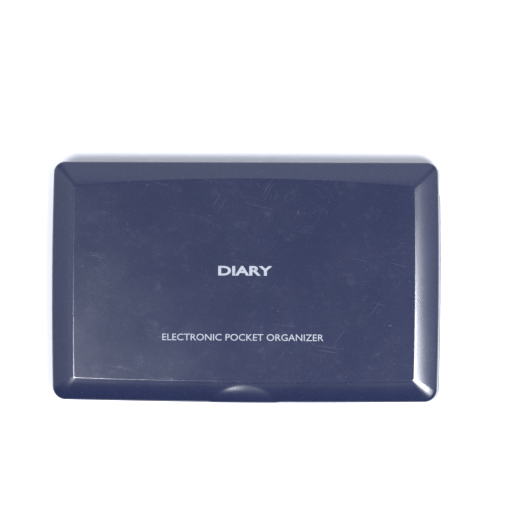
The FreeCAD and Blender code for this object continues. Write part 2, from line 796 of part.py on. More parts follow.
def make_knuckles():
    """The lid's half of the hinge: one solid knuckle at each end, trimmed to the case."""
    centre = (AXIS_Y, d.axis_height)
    rods = [cylinder("knuckle_right", d.knuckle_radius, centre,
                     (d.knuckle_inner_end, d.knuckle_outer_end), "x"),
            cylinder("knuckle_left", d.knuckle_radius, centre,
                     (-d.knuckle_outer_end, -d.knuckle_inner_end), "x")]
    trim = outline_slab("knuckle_trim", LID_OUTLINE.inset(d.knuckle_inset), d.knuckle_bottom,
                        d.lid_ceiling)
    return common("knuckles", gather("knuckle_rods", *rods), trim)


def make_lid_cuts():
    """Everything that is cut out of the lid after the knuckles are joined on."""
    centre = (AXIS_Y, d.axis_height)
    inner = d.knuckle_inner_end
    hood = cylinder("hood_room", d.hood_clearance, centre, (-inner, inner), "x")
    opening = box("hood_opening", (-inner, inner), (BASE_REAR, HALF_DEPTH + d.wall),
                  (d.knuckle_bottom, d.hood_edge))
    pin_bore = cylinder("lid_pin_bore", d.pin_radius + d.running_gap, centre,
                        (inner, d.pin_end + d.running_gap), "x")
    bush_bore = cylinder("lid_bush_bore", d.bush_outer + d.running_gap, centre,
                         (-d.bush_end - d.running_gap, -inner), "x")
    flex_bore = cylinder("lid_flex_bore", d.bush_inner, centre,
                         (d.flex_lid_left - d.flex_gap, -inner), "x")
    flex_slot = box("lid_flex_slot", (d.flex_lid_left - d.flex_gap, d.flex_lid_right + d.flex_gap),
                    (BASE_REAR, AXIS_Y), (d.flex_lid_height - d.flex_gap, d.axis_height + d.bush_inner))
    tilt = d.scoop_tilt
    scoop = doc.addObject("Part::Cylinder", "thumb_scoop")
    bind(scoop, "Radius", d.scoop_radius)
    bind(scoop, "Height", d.scoop_reach * 2)
    bind(scoop, "Placement.Rotation.Angle", tilt - 90)
    scoop.Placement.Rotation.Axis = FreeCAD.Vector(1, 0, 0)
    place(scoop, 0, -HALF_DEPTH - d.scoop_radius * sine(tilt) - d.scoop_reach * cosine(tilt),
          d.scoop_bottom + d.scoop_radius * cosine(tilt) - d.scoop_reach * sine(tilt))
    holes = [cylinder(f"lid_screw_hole_{number}", d.lid_screw_hole, point,
                      (d.lid_boss_bottom, d.lid_screw_top + d.running_gap))
             for number, point in enumerate(lid_screw_points())]
    return [hood, opening, pin_bore, bush_bore, flex_bore, flex_slot, scoop, *holes]


def make_lid_shell():
    """The outer lid: walls, a convex bevel up to the flat panel, hollow below."""
    outer = doc.addObject("PartDesign::Body", "lid_outer")
    bevel_bottom = d.body_height - d.bevel_height
    wall_sketch = outline_sketch(outer, "lid_rim", LID_OUTLINE, d.lid_bottom)
    add_pad(outer, "lid_walls", wall_sketch, bevel_bottom - d.lid_bottom)
    add_loft(outer, "lid_bevel", ((LID_OUTLINE, bevel_bottom),
                                  (LID_OUTLINE.middle(PANEL_OUTLINE), bevel_bottom + d.bevel_middle),
                                  (PANEL_OUTLINE, d.body_height)))
    hollow = doc.addObject("PartDesign::Body", "lid_hollow")
    inner = LID_OUTLINE.inset(d.wall)
    mouth = outline_sketch(hollow, "lid_mouth", inner, d.axis_height)
    add_pad(hollow, "lid_hollow_walls", mouth, d.lid_cavity_edge - d.axis_height)
    add_loft(hollow, "lid_hollow_bevel", ((inner, d.lid_cavity_edge),
                                          (PANEL_OUTLINE.inset(d.panel_inset), d.lid_ceiling)))
    bosses = [cylinder(f"lid_boss_{number}", d.lid_boss_radius, point, (d.lid_boss_bottom, d.lid_ceiling))
              for number, point in enumerate(lid_screw_points())]
    shell = fuse("lid_fused", cut("lid_hollowed", outer, hollow), make_knuckles(), *bosses)
    keep("lid_shell", cut("lid_cut", shell, *make_lid_cuts()))


def mode_key_places():
    """Name and place along the row of every mode key."""
    middle = (len(MODE_KEYS) - 1) / 2
    return [(name, d.mode_pitch * (column - middle)) for column, name in enumerate(MODE_KEYS)]


def make_display_bezel():
    """The lid's inner plate, open for the window and the mode keys."""
    inner = LID_OUTLINE.inset(d.wall + d.fit_gap)
    slab = outline_slab("display_plate", inner, d.display_bezel_bottom, d.display_bezel_top)
    trimmed_rear = BASE_REAR - d.fit_gap
    flange = box("rear_wall", (-d.neck_half_length, d.neck_half_length),
                 (trimmed_rear - d.rear_flange, trimmed_rear), (d.display_bezel_bottom, d.display_board_top))
    rear_room = box("rear_room", (-HALF_WIDTH, HALF_WIDTH), (trimmed_rear, HALF_DEPTH),
                    (d.axis_height, d.body_height))
    flex_notch = box("bezel_flex_notch", (d.flex_lid_left - d.flex_gap, d.flex_lid_right + d.flex_gap),
                     (d.flex_riser - d.flex_gap, HALF_DEPTH), (d.axis_height, d.body_height))
    window = rounded_block("window_opening", d.window_width + d.key_gap, d.window_depth + d.key_gap,
                           d.window_corner, d.axis_height, d.body_height)
    place(window, 0, d.window_centre, 0)
    cuts = [rear_room, flex_notch, window]
    for name, x in mode_key_places():
        opening = rounded_block(f"mode_opening_{name}", d.mode_width + d.key_gap * 2,
                                d.mode_depth + d.key_gap * 2, d.key_corner, d.axis_height, d.display_bezel_top)
        place(opening, x, d.mode_row, 0)
        cuts.append(opening)
    for number, point in enumerate(lid_screw_points()):
        cuts.append(cylinder(f"lid_head_recess_{number}", d.lid_head_radius + d.head_gap, point,
                             (d.axis_height, d.lid_head_top)))
        cuts.append(cylinder(f"bezel_screw_hole_{number}", d.lid_screw_hole, point,
                             (d.axis_height, d.display_bezel_top)))
    keep("display_bezel", cut("display_bezel_cut", fuse("display_bezel_blank", slab, flange), *cuts))


def make_mode_key(name, x):
    """One key of the lid: cap below the bezel, flange above it and a stem to the board."""
    body = rounded_block(f"mode_cap_{name}", d.mode_width, d.mode_depth, d.key_corner, d.mode_bottom,
                         d.mode_flange_bottom)
    flange = rounded_block(f"mode_flange_{name}", d.mode_width + d.flange_margin * 2,
                           d.mode_depth + d.flange_margin * 2, d.key_corner, d.mode_flange_bottom,
                           d.mode_flange_top)
    for part in (body, flange):
        place(part, x, d.mode_row, 0)
    stem = cylinder(f"mode_stem_{name}", d.mode_stem, (x, d.mode_row), (d.mode_flange_bottom, d.mode_stem_top))
    keep(f"mode_key_{name}", fuse(f"mode_fused_{name}", body, flange, stem))


def make_display():
    """Window, liquid crystal panel and display board."""
    window = rounded_block("window_pane", d.window_width, d.window_depth, d.window_corner, d.window_bottom,
                           d.window_top)
    place(window, 0, d.window_centre, 0)
    keep("display_window", window)
    keep("lcd_panel", box("lcd_glass", (-d.glass_half_width, d.glass_half_width),
                          (d.window_centre - d.glass_half_depth, d.window_centre + d.glass_half_depth),
                          (d.glass_bottom, d.glass_top)))
    keep("display_board", box("display_board_blank", (-d.display_board_half_width, d.display_board_half_width),
                              (d.display_board_front, d.display_board_rear),
                              (d.display_board_bottom, d.display_board_top)))


def make_lid_screws():
    """Four screws that hold the display bezel to the lid's bosses."""
    screws = []
    for number, point in enumerate(lid_screw_points()):
        head = cylinder(f"lid_head_{number}", d.lid_head_radius, point, (d.display_bezel_bottom, d.lid_head_top))
        shank = cylinder(f"lid_shank_{number}", d.lid_screw_radius, point,
                         (d.display_bezel_bottom, d.lid_screw_top))
        screws.append(fuse(f"lid_screw_{number}", head, shank))
    keep("lid_screws", gather("lid_screw_set", *screws))


# ---- build, check and write -------------------------------------------------------


def check_document():
    """Stops if any object failed or any sub-part's shape is unsound."""
    failed = [thing.Name for thing in doc.Objects if set(thing.State) & {"Invalid", "Error"}]
    if failed:
        raise RuntimeError(f"objects failed: {failed}")
    for name, thing in nodes.items():
        if thing.Shape.isNull() or not thing.Shape.isValid() or not thing.Shape.Solids:
            raise RuntimeError(f"{name} has no sound shape")


def write_parts():
    """Writes one file for each sub-part."""
    os.makedirs("parts", exist_ok=True)
    for name, thing in nodes.items():
        thing.Shape.exportStep(f"parts/{name}.step")
        limits = thing.Shape.BoundBox
        print(f"{name}: {len(thing.Shape.Solids)} solids, {thing.Shape.Volume:.1f} mm3, "
              f"z {limits.ZMin:.2f} to {limits.ZMax:.2f}")


make_bottom_case()
make_battery_door()
make_cells()
make_main_board()
make_keyboard_bezel()
make_hinge_barrel()
make_hinge_pins()
make_hinge_flex()
make_case_screws()
make_small_parts()
for key_place in key_places():
    make_key(*key_place)
make_lid_shell()
make_display_bezel()
for mode_key_place in mode_key_places():
    make_mode_key(*mode_key_place)
make_display()
make_lid_screws()
doc.recompute()
check_document()
write_parts()
print(f"{len(nodes)} sub-parts")
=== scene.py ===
"""Looks of a closed pocket organiser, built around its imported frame.

The base carries a rubber keyboard and the lid a liquid crystal display; a barrel along the rear edge
joins them. Lengths are in metres, +Z is up, +X is the user's right and +Y points to the hinge.
"""

from __future__ import annotations

import json
import logging
import math
from dataclasses import asdict, astuple, dataclass, field, replace
from enum import Enum
from typing import Iterable, Sequence

import bmesh
import bpy
from mathutils import Matrix, Vector

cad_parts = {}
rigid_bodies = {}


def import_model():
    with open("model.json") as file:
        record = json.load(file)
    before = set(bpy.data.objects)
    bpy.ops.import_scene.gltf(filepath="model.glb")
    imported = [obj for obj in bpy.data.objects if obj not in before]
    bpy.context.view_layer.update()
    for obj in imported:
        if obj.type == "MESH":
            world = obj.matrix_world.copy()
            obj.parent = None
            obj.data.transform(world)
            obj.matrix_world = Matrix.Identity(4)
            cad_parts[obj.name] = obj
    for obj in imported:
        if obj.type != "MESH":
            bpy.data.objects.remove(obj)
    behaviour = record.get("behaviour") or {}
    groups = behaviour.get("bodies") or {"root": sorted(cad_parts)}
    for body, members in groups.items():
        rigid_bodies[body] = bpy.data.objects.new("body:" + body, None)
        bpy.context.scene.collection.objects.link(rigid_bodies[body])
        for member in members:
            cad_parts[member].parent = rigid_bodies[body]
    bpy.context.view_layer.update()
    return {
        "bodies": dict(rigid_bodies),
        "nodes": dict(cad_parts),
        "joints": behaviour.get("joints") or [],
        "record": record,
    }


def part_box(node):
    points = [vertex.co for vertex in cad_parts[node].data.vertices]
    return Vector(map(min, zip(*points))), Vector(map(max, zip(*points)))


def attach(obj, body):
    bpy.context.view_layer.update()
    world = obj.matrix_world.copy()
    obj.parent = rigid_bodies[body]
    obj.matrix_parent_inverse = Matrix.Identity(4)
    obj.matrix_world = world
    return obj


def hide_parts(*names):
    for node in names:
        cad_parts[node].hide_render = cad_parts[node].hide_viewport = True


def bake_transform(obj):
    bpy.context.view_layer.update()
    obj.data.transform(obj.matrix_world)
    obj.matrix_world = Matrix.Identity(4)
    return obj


LOG = logging.getLogger("organiser")
MM = 0.001
ACROSS = Vector((1.0, 0.0, 0.0))
LEAST_CORNER = 0.4 * MM
WELD = 0.001 * MM

Ring = list[Vector]
Colour = tuple[float, float, float]


# ---- mesh building ----------------------------------------------------------------


@dataclass(frozen=True)
class BowedOutline:
    """Four slightly bowed sides, centred on the axes and joined by round corners."""

    half_width: float
    front: float
    rear: float
    side_radius: float
    front_radius: float
    rear_radius: float
    corner_front: float
    corner_rear: float

    def inset(self, distance: float) -> BowedOutline:
        """The outline moved inwards.

        Args:
            distance: How far every side moves in.

        Returns:
            The smaller outline, whose corners never get sharp.
        """
        *sides, front, rear = (length - distance for length in astuple(self))
        return BowedOutline(*sides, max(front, LEAST_CORNER), max(rear, LEAST_CORNER))

    def _side(self, index: int) -> tuple[Vector, float]:
        """Centre and radius of one side's arc; sides run right, rear, left, front."""
        reach = (self.half_width, self.rear, self.half_width, self.front)[index % 4]
        radius = (self.side_radius, self.rear_radius, self.side_radius, self.front_radius)[index % 4]
        angle = index * math.pi / 2
        return Vector((math.cos(angle), math.sin(angle))) * (reach - radius), radius

    def _corner(self, index: int) -> tuple[Vector, float]:
        """Centre and radius of the round corner after one side."""
        small = (self.corner_rear, self.corner_rear, self.corner_front, self.corner_front)[index % 4]
        first, first_radius = self._side(index)
        second, second_radius = self._side(index + 1)
        between = second - first
        reach = first_radius - small
        along = (reach**2 - (second_radius - small) ** 2 + between.length_squared) / (2 * between.length)
        across = math.sqrt(reach**2 - along**2)
        unit = between.normalized()
        normal = Vector((-unit.y, unit.x))
        diagonal = (index + 0.5) * math.pi / 2
        outward = Vector((math.cos(diagonal), math.sin(diagonal)))
        crossings = (first + unit * along + normal * across * sign for sign in (-1, 1))
        return max(crossings, key=outward.dot), small

    def ring(self, height: float, shares: Sequence[Sequence[float]]) -> Ring:
        """The outline's points at one height, anticlockwise seen from above.

        Args:
            height: Height of the ring.
            shares: For right, rear, left, front and the corners, where the points of each
                stretch lie, from 0 up to but without 1.

        Returns:
            The points of the closed ring.
        """
        points: Ring = []
        for index in range(4):
            centre, radius = self._side(index)
            before, _ = self._corner(index - 1)
            after, small = self._corner(index)
            following, _ = self._side(index + 1)
            start, end, turn = (
                math.atan2(direction.y, direction.x)
                for direction in (before - centre, after - centre, after - following)
            )
            for hub, size, low, high, spread in (
                (centre, radius, start, end, shares[index]),
                (after, small, end, turn, shares[4]),
            ):
                sweep = (high - low + math.pi) % (2 * math.pi) - math.pi
                for share in spread:
                    angle = low + sweep * share
                    x, y = hub.x + size * math.cos(angle), hub.y + size * math.sin(angle)
                    points.append(Vector((x, y, height)))
        return points


def even(count: int) -> list[float]:
    """Shares of a stretch that are evenly spaced."""
    return [index / count for index in range(count)]


def gathered(count: int, pull: float) -> list[float]:
    """Shares of a stretch that crowd towards its middle.

    Args:
        count: Number of points.
        pull: From 0 for even spacing up to 1 for the strongest crowding.

    Returns:
        The shares.
    """
    return [share + pull * math.sin(2 * math.pi * share) / (2 * math.pi) for share in even(count)]


def ramp(value: float, start: float, length: float) -> float:
    """How far a value has come past a start, from 0 to 1 at the end of a length."""
    return min(1.0, max(0.0, (value - start) / length))


def link(name: str, data: bpy.types.ID) -> bpy.types.Object:
    """Puts a mesh, text, light or camera into the scene as an object at the origin."""
    thing = bpy.data.objects.new(name, data)
    bpy.context.scene.collection.objects.link(thing)
    return thing


def set_down(name: str, shape: bmesh.types.BMesh) -> bpy.types.Object:
    """Puts a working mesh into the scene and frees it."""
    mesh = bpy.data.meshes.new(name)
    shape.to_mesh(mesh)
    shape.free()
    return link(name, mesh)


def bridge(shape: bmesh.types.BMesh, first: Sequence, second: Sequence) -> None:
    """Joins two rings of a working mesh with faces."""
    count = len(first)
    for index in range(count):
        after = (index + 1) % count
        shape.faces.new((first[index], first[after], second[after], second[index]))


def circle(count: int) -> list[tuple[float, float]]:
    """Points of a unit circle."""
    angles = [2 * math.pi * step / count for step in range(count)]
    return [(math.cos(angle), math.sin(angle)) for angle in angles]


def loft(name: str, rings: Sequence[Ring]) -> bpy.types.Object:
    """A closed solid through rings of equal length, from the lowest to the highest.

    Args:
        name: Name of the object.
        rings: Rings that run anticlockwise seen from above.

    Returns:
        The new object.
    """
    shape = bmesh.new()
    layers = [[shape.verts.new(point) for point in ring] for ring in rings]
    for lower, upper in zip(layers, layers[1:]):
        bridge(shape, lower, upper)
    shape.faces.new(reversed(layers[0]))
    shape.faces.new(layers[-1])
    return set_down(name, shape)


def block(name: str, low: Sequence[float], high: Sequence[float]) -> bpy.types.Object:
    """A plain box, used as a cutter."""
    corners = [(low[0], low[1]), (high[0], low[1]), (high[0], high[1]), (low[0], high[1])]
    return loft(name, [[Vector((x, y, z)) for x, y in corners] for z in (low[2], high[2])])


def rod(
    name: str, centre: Vector, direction: Vector, radius: float, length: float, count: int = 64
) -> bpy.types.Object:
    """A cylinder along any direction.

    Args:
        name: Name of the object.
        centre: Middle of the cylinder.
        direction: Direction of its axis.
        radius: Its radius.
        length: Its whole length.
        count: Number of flats round it.

    Returns:
        The new object.
    """
    turn = direction.to_track_quat("Z", "Y").to_matrix()
    rings = []
    for end in (-length / 2, length / 2):
        rings.append([centre + turn @ Vector((radius * x, radius * y, end)) for x, y in circle(count)])
    return loft(name, rings)


def evaluated_mesh(thing: bpy.types.Object) -> bpy.types.Mesh:
    """A new mesh of what an object looks like with its modifiers."""
    graph = bpy.context.evaluated_depsgraph_get()
    return bpy.data.meshes.new_from_object(thing.evaluated_get(graph))


def settle(thing: bpy.types.Object) -> bpy.types.Object:
    """Turns an object's modifiers into its mesh."""
    mesh = evaluated_mesh(thing)
    thing.modifiers.clear()
    old, thing.data = thing.data, mesh
    bpy.data.meshes.remove(old)
    return thing


def combine(
    thing: bpy.types.Object, tools: Iterable[bpy.types.Object], operation: str = "DIFFERENCE"
) -> bpy.types.Object:
    """Cuts, joins or trims a solid with others, which are used up.

    Args:
        thing: The solid that is changed.
        tools: The solids that change it.
        operation: DIFFERENCE, UNION or INTERSECT.

    Returns:
        The changed solid.
    """
    for tool in tools:
        modifier = thing.modifiers.new("combine", "BOOLEAN")
        modifier.operation = operation
        modifier.solver = "EXACT"
        modifier.object = tool
        settle(thing)
        bpy.data.objects.remove(tool)
    return thing


def cleaned(thing: bpy.types.Object) -> bmesh.types.BMesh:
    """A working copy of a solid's mesh, without doubled points and faces of no size."""
    shape = bmesh.new()
    shape.from_mesh(thing.data)
    bmesh.ops.remove_doubles(shape, verts=shape.verts, dist=WELD)
    bmesh.ops.dissolve_degenerate(shape, edges=shape.edges, dist=WELD)
    return shape


def smooth(thing: bpy.types.Object, angle: float = 30.0) -> bpy.types.Object:
    """Shades a piece smooth, with creases where faces meet at more than an angle in degrees."""
    shape = cleaned(thing)
    shape.to_mesh(thing.data)
    shape.free()
    thing.data.shade_smooth()
    thing.data.set_sharp_from_angle(angle=math.radians(angle))
    return thing


def without_flaps(thing: bpy.types.Object) -> bpy.types.Object:
    """Divides a cut solid into triangles and removes the pairs that lie back to back."""
    shape = cleaned(thing)
    bmesh.ops.triangulate(shape, faces=shape.faces)
    twins: dict[frozenset, list[bmesh.types.BMFace]] = {}
    for face in shape.faces:
        twins.setdefault(frozenset(face.verts), []).append(face)
    flaps = [face for pair in twins.values() if len(pair) > 1 for face in pair]
    bmesh.ops.delete(shape, geom=flaps, context="FACES")
    shape.to_mesh(thing.data)
    shape.free()
    return thing


def round_ring(
    middle: Sequence[float], size: Sequence[float], corner: float, height: float, steps: int = 6
) -> Ring:
    """A rectangle with round corners, anticlockwise seen from above.

    Args:
        middle: Its centre.
        size: Its width and depth.
        corner: Radius of its corners.
        height: Height of the ring.
        steps: Number of stretches in each corner.

    Returns:
        The points of the ring.
    """
    half_x, half_y = size[0] / 2 - corner, size[1] / 2 - corner
    points: Ring = []
    for index, (side_x, side_y) in enumerate(((1, 1), (-1, 1), (-1, -1), (1, -1))):
        for step in range(steps + 1):
            angle = math.radians(90.0 * (index + step / steps))
            x = middle[0] + side_x * half_x + corner * math.cos(angle)
            y = middle[1] + side_y * half_y + corner * math.sin(angle)
            points.append(Vector((x, y, height)))
    return points


def slab(
    name: str,
    middle: Sequence[float],
    size: Sequence[float],
    corner: float,
    profile: Iterable[tuple[float, float]],
    steps: int = 6,
) -> bpy.types.Object:
    """A round-cornered slab whose edge follows a profile.

    Args:
        name: Name of the object.
        middle: Centre of its outline.
        size: Width and depth of its outline.
        corner: Radius of its corners.
        profile: Inset and height of each ring, from the lowest to the highest.
        steps: Number of stretches in each corner.

    Returns:
        The new object.
    """
    rings = []
    for inset, height in profile:
        inner = (size[0] - 2 * inset, size[1] - 2 * inset)
        radius = max(corner - inset, 0.12 * MM)
        rings.append(round_ring(middle, inner, radius, height, steps))
    return loft(name, rings)


def turned(
    name: str, middle: Sequence[float], profile: Iterable[tuple[float, float]], count: int = 48
) -> bpy.types.Object:
    """A round piece about an upright axis.

    Args:
        name: Name of the object.
        middle: Where its axis stands.
        profile: Radius and height of each ring, from the bottom centre to the top centre.
        count: Number of flats round it.

    Returns:
        The new object.
    """
    x, y = middle[0], middle[1]
    rings = [[Vector((x + r * a, y + r * b, z)) for a, b in circle(count)] for r, z in profile]
    return loft(name, rings)


def merge(name: str, parts: Iterable[tuple[bpy.types.Object, bpy.types.Material]]) -> bpy.types.Object:
    """One piece from several, each with its own material; the parts are used up.

    Args:
        name: Name of the new object.
        parts: The parts and their materials.

    Returns:
        The new object.
    """
    shape = bmesh.new()
    materials: list[bpy.types.Material] = []
    for thing, material in parts:
        if material not in materials:
            materials.append(material)
        done = len(shape.faces)
        shape.from_mesh(thing.data)
        shape.faces.ensure_lookup_table()
        for face in shape.faces[done:]:
            face.material_index = materials.index(material)
        bpy.data.objects.remove(thing)
    piece = set_down(name, shape)
    for material in materials:
        piece.data.materials.append(material)
    return piece


def gather(name: str, things: Iterable[bpy.types.Object]) -> bpy.types.Object:
    """One mesh from several that don't overlap; they are used up."""
    shape = bmesh.new()
    for thing in things:
        shape.from_mesh(thing.data)
        bpy.data.objects.remove(thing)
    return set_down(name, shape)


@dataclass(frozen=True)
class Word:
    """A printed word: its middle, letter size, and the width that it is fitted to."""

    text: str
    x: float
    y: float
    size: float
    width: float = 0.0
    weight: float = 0.0


def print_words(
    name: str, words: Iterable[Word], level: float, thickness: float, downward: bool = False
) -> bpy.types.Object:
    """Raised lettering as closed solids.

    Args:
        name: Name of the object.
        words: The words.
        level: Height of the surface that they stand on.
        thickness: How far they stand up.
        downward: Whether the surface faces down.

    Returns:
        The new object.
    """
    shape = bmesh.new()
    for word in words:
        curve = bpy.data.curves.new(name, "FONT")
        curve.body, curve.size, curve.offset = word.text, word.size, word.weight
        curve.align_x, curve.align_y = "CENTER", "CENTER"
        curve.extrude, curve.resolution_u = thickness / 2, 4
        thing = link(name, curve)
        mesh = evaluated_mesh(thing)
        places = [vertex.co.x for vertex in mesh.vertices]
        stretch = word.width / (max(places) - min(places)) if word.width else 1.0
        side = -1.0 if downward else 1.0
        place = Vector((word.x, word.y, level + side * thickness / 2))
        turn = Matrix.Rotation(math.pi if downward else 0.0, 4, "X")
        mesh.transform(Matrix.Translation(place) @ turn @ Matrix.Diagonal((stretch, 1.0, 1.0, 1.0)))
        shape.from_mesh(mesh)
        bpy.data.objects.remove(thing)
        bpy.data.curves.remove(curve)
        bpy.data.meshes.remove(mesh)
    bmesh.ops.remove_doubles(shape, verts=shape.verts, dist=WELD / 2)
    bmesh.ops.recalc_face_normals(shape, faces=shape.faces)
    return set_down(name, shape)


# ---- geometry nodes ---------------------------------------------------------------


def make_pattern_tree() -> bpy.types.NodeTree:
    """Sets copies of the input mesh out on a grid, each with its own small turn."""
    group = bpy.data.node_groups.new("set_out_on_grid", "GeometryNodeTree")
    kinds = {
        "Geometry": "Geometry", "Width": "Float", "Depth": "Float", "Columns": "Int", "Rows": "Int",
        "Centre": "Vector", "Turn": "Float", "Seed": "Int", "Material": "Material",
    }
    for name, kind in kinds.items():
        group.interface.new_socket(name, in_out="INPUT", socket_type=f"NodeSocket{kind}")
    group.interface.new_socket("Geometry", in_out="OUTPUT", socket_type="NodeSocketGeometry")
    tree = Tree(group)
    start = tree.node("NodeGroupInput").outputs
    names = {"Size X": "Width", "Size Y": "Depth", "Vertices X": "Columns", "Vertices Y": "Rows"}
    sizes = {socket: start[name] for socket, name in names.items()}
    grid = tree.node("GeometryNodeMeshGrid", sizes).outputs["Mesh"]
    placed = tree.node("GeometryNodeTransform", {"Geometry": grid, "Translation": start["Centre"]})
    limits = {"Max": start["Turn"], "Seed": start["Seed"]}
    turn = tree.node("FunctionNodeRandomValue", limits, data_type="FLOAT")
    angle = next(socket for socket in turn.outputs if socket.enabled)
    axis = tree.node("ShaderNodeCombineXYZ", {"Z": angle}).outputs[0]
    spots = {"Points": placed.outputs[0], "Instance": start["Geometry"], "Rotation": axis}
    copies = tree.node("GeometryNodeInstanceOnPoints", spots)
    real = tree.node("GeometryNodeRealizeInstances", {"Geometry": copies.outputs[0]})
    coat = {"Geometry": real.outputs[0], "Material": start["Material"]}
    coated = tree.node("GeometryNodeSetMaterial", coat)
    group.links.new(coated.outputs[0], tree.node("NodeGroupOutput").inputs["Geometry"])
    return group


@dataclass(frozen=True)
class Pattern:
    """A grid of equal pieces; each field is also an input of the pattern's node tree."""

    width: float
    depth: float
    columns: int
    rows: int
    centre: tuple[float, float, float]
    turn: float = 0.0
    seed: int = 7

    def lay(
        self, thing: bpy.types.Object, tree: bpy.types.NodeTree, material: bpy.types.Material
    ) -> bpy.types.Object:
        """Turns one modelled piece into the whole pattern.

        Args:
            thing: The piece, modelled at the origin.
            tree: The node tree that sets it out.
            material: Its finish.

        Returns:
            The same object, now a plain mesh of the whole pattern.
        """
        modifier = thing.modifiers.new("pattern", "NODES")
        modifier.node_group = tree
        values = {name.title(): value for name, value in asdict(self).items()} | {"Material": material}
        for socket in tree.interface.items_tree:
            if socket.in_out == "INPUT" and socket.name in values:
                modifier[socket.identifier] = values[socket.name]
        return settle(thing)


# ---- shader node groups -----------------------------------------------------------


class Tree:
    """A short hand for laying nodes into a shader or geometry tree."""

    def __init__(self, tree: bpy.types.NodeTree) -> None:
        """Keeps the tree that nodes go into."""
        self.tree = tree

    def node(self, kind: str, inputs: dict | None = None, **settings: object) -> bpy.types.Node:
        """Adds a node.

        Args:
            kind: The node's type name.
            inputs: Values or output sockets, by input name or index.
            **settings: The node's own properties.

        Returns:
            The new node.
        """
        added = self.tree.nodes.new(kind)
        for key, value in settings.items():
            setattr(added, key, value)
        for key, value in (inputs or {}).items():
            self.supply(added.inputs[key], value)
        return added

    def supply(self, socket: bpy.types.NodeSocket, value: object) -> None:
        """Links an input socket to an output, or gives it a value."""
        if isinstance(value, bpy.types.NodeSocket):
            self.tree.links.new(value, socket)
        else:
            socket.default_value = value

    def maths(self, operation: str, *values: object) -> bpy.types.NodeSocket:
        """A Math node's result."""
        return self.node("ShaderNodeMath", dict(enumerate(values)), operation=operation).outputs[0]

    def times(self, first: object, second: object) -> bpy.types.NodeSocket:
        """A product of two values."""
        return self.maths("MULTIPLY", first, second)

    def plus(self, first: object, second: object) -> bpy.types.NodeSocket:
        """A sum of two values."""
        return self.maths("ADD", first, second)

    def scaled(self, vector: object, factor: object) -> bpy.types.NodeSocket:
        """A colour or vector made larger or smaller by a factor."""
        return self.node("ShaderNodeVectorMath", {0: vector, "Scale": factor}, operation="SCALE").outputs[0]

    def axis(self, vector: object, name: str) -> bpy.types.NodeSocket:
        """One of a vector's parts, X, Y or Z."""
        return self.node("ShaderNodeSeparateXYZ", {0: vector}).outputs[name]

    def remap(
        self, value: object, low: float, high: float, start: float = 0.0, end: float = 1.0
    ) -> bpy.types.NodeSocket:
        """A smooth step of a value from one range to another."""
        settings = {"Value": value, "From Min": low, "From Max": high, "To Min": start, "To Max": end}
        return self.node("ShaderNodeMapRange", settings, interpolation_type="SMOOTHSTEP").outputs[0]

    def noise(
        self, vector: object, scale: object, detail: float = 2.0, roughness: float = 0.5
    ) -> bpy.types.NodeSocket:
        """A noise texture's value."""
        settings = {"Vector": vector, "Scale": scale, "Detail": detail, "Roughness": roughness}
        return self.node("ShaderNodeTexNoise", settings).outputs[0]

    def mapping(
        self, vector: object, scale: Sequence[float] = (1, 1, 1), turn: float = 0.0,
        shift: Sequence[float] = (0, 0, 0),
    ) -> bpy.types.NodeSocket:
        """Coordinates that are moved, turned about Z and stretched."""
        settings = {"Vector": vector, "Location": shift, "Rotation": (0, 0, turn), "Scale": scale}
        return self.node("ShaderNodeMapping", settings).outputs[0]

    def blend(self, share: object, first: object, second: object) -> bpy.types.NodeSocket:
        """A mix of two colours."""
        settings = {0: share, 6: first, 7: second}
        return self.node("ShaderNodeMix", settings, data_type="RGBA").outputs[2]


def shader_group(
    name: str, inputs: dict[str, tuple[str, object]], outputs: dict[str, str]
) -> tuple[bpy.types.NodeTree, Tree, bpy.types.Node, bpy.types.Node]:
    """Starts a shader node group with named sockets.

    Args:
        name: Name of the group.
        inputs: Socket kind and default value, by name.
        outputs: Socket kind, by name.

    Returns:
        The group, its tree helper, its input node and its output node.
    """
    group = bpy.data.node_groups.new(name, "ShaderNodeTree")
    for socket, (kind, value) in inputs.items():
        made = group.interface.new_socket(socket, in_out="INPUT", socket_type=f"NodeSocket{kind}")
        if value is not None:
            made.default_value = value
    for socket, kind in outputs.items():
        group.interface.new_socket(socket, in_out="OUTPUT", socket_type=f"NodeSocket{kind}")
    tree = Tree(group)
    return group, tree, tree.node("NodeGroupInput"), tree.node("NodeGroupOutput")


def make_grain_group() -> bpy.types.NodeTree:
    """Fine moulded grain: a height and a brightness that vary over the surface."""
    group, tree, start, end = shader_group(
        "moulded_grain",
        {"Vector": ("Vector", None), "Scale": ("Float", 2500.0), "Speckle": ("Float", 0.5)},
        {"Height": "Float", "Brightness": "Float"},
    )
    where = start.outputs["Vector"]
    coarse = tree.noise(where, start.outputs["Scale"], 3.0)
    cells = tree.node("ShaderNodeTexVoronoi", {"Vector": where, "Scale": start.outputs["Scale"]})
    pips = tree.remap(cells.outputs["Distance"], 0.0, 0.55, 1.0, 0.0)
    height = tree.plus(coarse, tree.times(pips, 0.4))
    cloud = tree.noise(where, 90.0, 4.0, 0.6)
    spots = tree.remap(coarse, 0.56, 0.72)
    lift = tree.times(spots, start.outputs["Speckle"])
    brightness = tree.plus(tree.plus(lift, 0.9), tree.times(cloud, 0.2))
    tree.supply(end.inputs["Height"], height)
    tree.supply(end.inputs["Brightness"], brightness)
    return group


